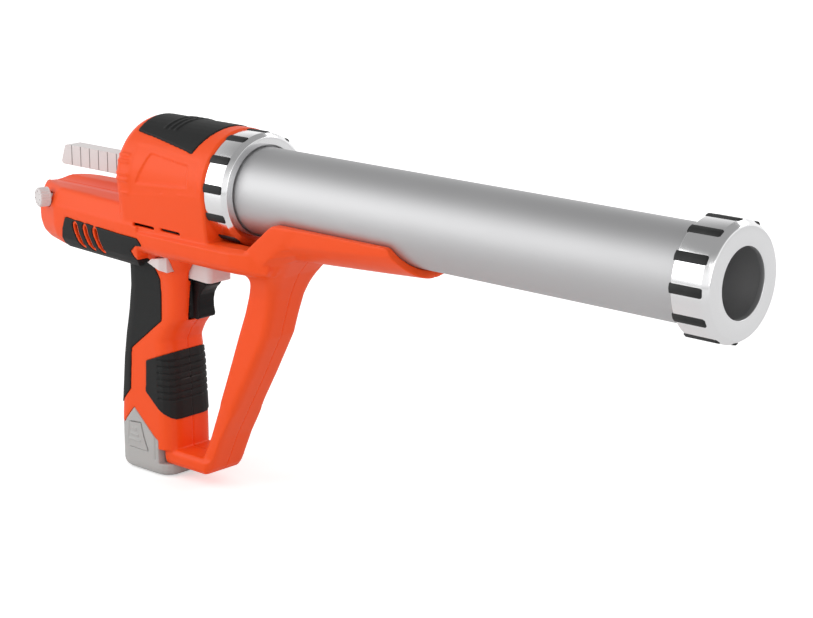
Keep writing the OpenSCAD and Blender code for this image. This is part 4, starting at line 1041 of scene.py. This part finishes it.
class CAULK_OT_drive(Operator):
    """Finish the gears, shafts, bushes, frame, gearbox, motor and the barrel's neck"""
    bl_idname = "caulk.drive"
    bl_label = "Drive"

    def execute(self, context):
        finish_nodes("barrel_socket", "gear_frame", "drive_shaft", "drive_pinion", "spur_gear",
                     "lay_shaft", "lay_pinion", "bevel_gear", "bevel_pinion", "shaft_bushes",
                     "gearbox", "motor", "rod_guides")
        return {"FINISHED"}


class CAULK_OT_fittings(Operator):
    """Finish the screws, springs and electrical pieces"""
    bl_idname = "caulk.fittings"
    bl_label = "Fittings"

    def execute(self, context):
        finish_nodes("housing_screws", "trigger_spring", "release_spring", "trigger_switch",
                     "dial_potentiometer", "terminal_block", "circuit_board")
        return {"FINISHED"}


# Middle of the tool, which the softboxes face
MIDDLE = Vector((-0.26, 0, -0.03))
# Softboxes: place, width and height, and the name of their power in the panel
SOFTBOXES = {"key_softbox": ((-1.5, -1.5, 0.85), (1.8, 1.6), "key_power"),
             "front_softbox": ((1.5, -1.1, 0.55), (0.9, 1.2), "fill_power"),
             "back_strip": ((0.1, 1.5, 1.1), (1.4, 0.5), "back_power")}
# Glow that whitens the floor, to the camera and in gloss: two distances from the middle, and its
# strength at each
FLOOR_GLOW = {"Is Camera Ray": (0.6, 1.8, 0.5, 0.75), "Is Glossy Ray": (0.5, 1.2, 0, 0.06)}
# The room's light in gloss: two heights of the way that a ray goes, and its strength at each
ROOM_IN_GLOSS = (0.3, 0.75, 1.0, 0.36)


class CAULK_OT_stage(Operator):
    """Set the pale floor, the white room, the softboxes and the camera"""
    bl_idname = "caulk.stage"
    bl_label = "Studio"

    def execute(self, context):
        studio = context.scene.caulk_studio
        context.scene.view_settings.view_transform = "Standard"
        self.lay_floor(studio)
        self.light_room(context, studio)
        for name, (at, size, lamp_power) in SOFTBOXES.items():
            self.softbox(name, at, size, getattr(studio, lamp_power))
        self.set_camera(context, studio)
        return {"FINISHED"}

    def lay_floor(self, studio):
        half = studio.floor_width/2
        level = CAD_BOX[0][2]
        corners = [(-half, -half, level), (half, -half, level), (half, half, level),
                   (-half, half, level)]
        floor = new_object("floor", mesh_from("floor", corners, [(0, 1, 2, 3)]))
        material = bpy.data.materials.new("pale_floor")
        material.use_nodes = True
        tree = material.node_tree
        shader = tree.nodes["Principled BSDF"]
        for key, value in (("Base Color", (0.86, 0.86, 0.86, 1)), ("Roughness", 0.9),
                           ("Specular IOR Level", 0.1)):
            shader.inputs[key].default_value = value
        rays = tree.nodes.new("ShaderNodeLightPath").outputs
        place = tree.nodes.new("ShaderNodeTexCoord").outputs["Object"]
        away = add_node(tree, "ShaderNodeVectorMath", {0: place, 1: (MIDDLE.x, MIDDLE.y, level)},
                        operation="DISTANCE")
        parts = [math_node(tree, "MULTIPLY", rays[ray], ramp(tree, away.outputs["Value"], *spread))
                 for ray, spread in FLOOR_GLOW.items()]
        glow = add_node(tree, "ShaderNodeEmission", {"Strength": math_node(tree, "ADD", *parts)})
        both = add_node(tree, "ShaderNodeAddShader", {0: shader.outputs[0], 1: glow.outputs[0]})
        link(tree, both.outputs[0], tree.nodes["Material Output"].inputs["Surface"])
        floor.data.materials.append(material)

    def light_room(self, context, studio):
        """White to the camera, and to metal white at the horizon and grey overhead."""
        world = bpy.data.worlds.new("white_room")
        context.scene.world = world
        world.use_nodes = True
        tree = world.node_tree
        rays = tree.nodes.new("ShaderNodeLightPath").outputs
        way = add_node(tree, "ShaderNodeSeparateXYZ", {
            0: tree.nodes.new("ShaderNodeTexCoord").outputs["Generated"]})
        overhead = ramp(tree, way.outputs["Z"], *ROOM_IN_GLOSS)
        gloss = math_node(tree, "MAXIMUM", rays["Is Glossy Ray"], rays["Is Transmission Ray"])
        level = studio.sky
        for share, seen in ((gloss, overhead), (rays["Is Camera Ray"], 1.0)):
            mix = add_node(tree, "ShaderNodeMix", {"Factor": share, "A": level, "B": seen})
            level = mix.outputs["Result"]
        background = tree.nodes["Background"].inputs
        background["Color"].default_value = (1, 1, 1, 1)
        link(tree, level, background["Strength"])

    def softbox(self, name, at, size, power):
        """Rectangular lamp that faces the tool."""
        lamp = bpy.data.lights.new(name, "AREA")
        lamp.shape = "RECTANGLE"
        lamp.size, lamp.size_y = size
        lamp.energy = power
        holder = new_object(name, lamp)
        holder.location = at
        holder.rotation_euler = (MIDDLE - Vector(at)).to_track_quat("-Z", "Y").to_euler()

    def set_camera(self, context, studio):
        turn, rise = studio.azimuth, studio.elevation
        right = Vector((math.cos(turn), math.sin(turn), 0))
        back = Vector((math.sin(turn)*math.cos(rise), -math.cos(turn)*math.cos(rise),
                       math.sin(rise)))
        data = bpy.data.cameras.new("camera")
        data.sensor_width = 36
        data.lens = studio.lens
        camera = new_object("camera", data)
        place = Matrix((right, back.cross(right), back)).transposed().to_4x4()
        place.translation = studio.camera_at
        camera.matrix_world = place
        context.scene.camera = camera


OPERATORS = (CAULK_OT_stage, CAULK_OT_housing, CAULK_OT_covers, CAULK_OT_tube, CAULK_OT_rings,
             CAULK_OT_rod, CAULK_OT_controls, CAULK_OT_battery, CAULK_OT_drive, CAULK_OT_fittings)
GROUPS = {"caulk_finish": CAULK_PG_finish, "caulk_moulding": CAULK_PG_moulding,
          "caulk_barrel": CAULK_PG_barrel, "caulk_studio": CAULK_PG_studio}


class CAULK_PT_tool(Panel):
    """Lists the tool's pieces and its studio"""
    bl_idname = "CAULK_PT_tool"
    bl_label = "Caulking tool"
    bl_space_type = "VIEW_3D"
    bl_region_type = "UI"
    bl_category = "Caulking tool"

    def draw(self, context):
        for step in OPERATORS:
            self.layout.operator(step.bl_idname)


def register():
    for group in GROUPS.values():
        bpy.utils.register_class(group)
    for name, group in GROUPS.items():
        setattr(bpy.types.Scene, name, PointerProperty(type=group))
    for step in OPERATORS:
        bpy.utils.register_class(step)
    bpy.utils.register_class(CAULK_PT_tool)


def unregister():
    bpy.utils.unregister_class(CAULK_PT_tool)
    for step in reversed(OPERATORS):
        bpy.utils.unregister_class(step)
    for name, group in GROUPS.items():
        delattr(bpy.types.Scene, name)
        bpy.utils.unregister_class(group)


def main():
    register()
    for step in OPERATORS:
        family, name = step.bl_idname.split(".")
        getattr(getattr(bpy.ops, family), name)()


if __name__ == "__main__":
    main()
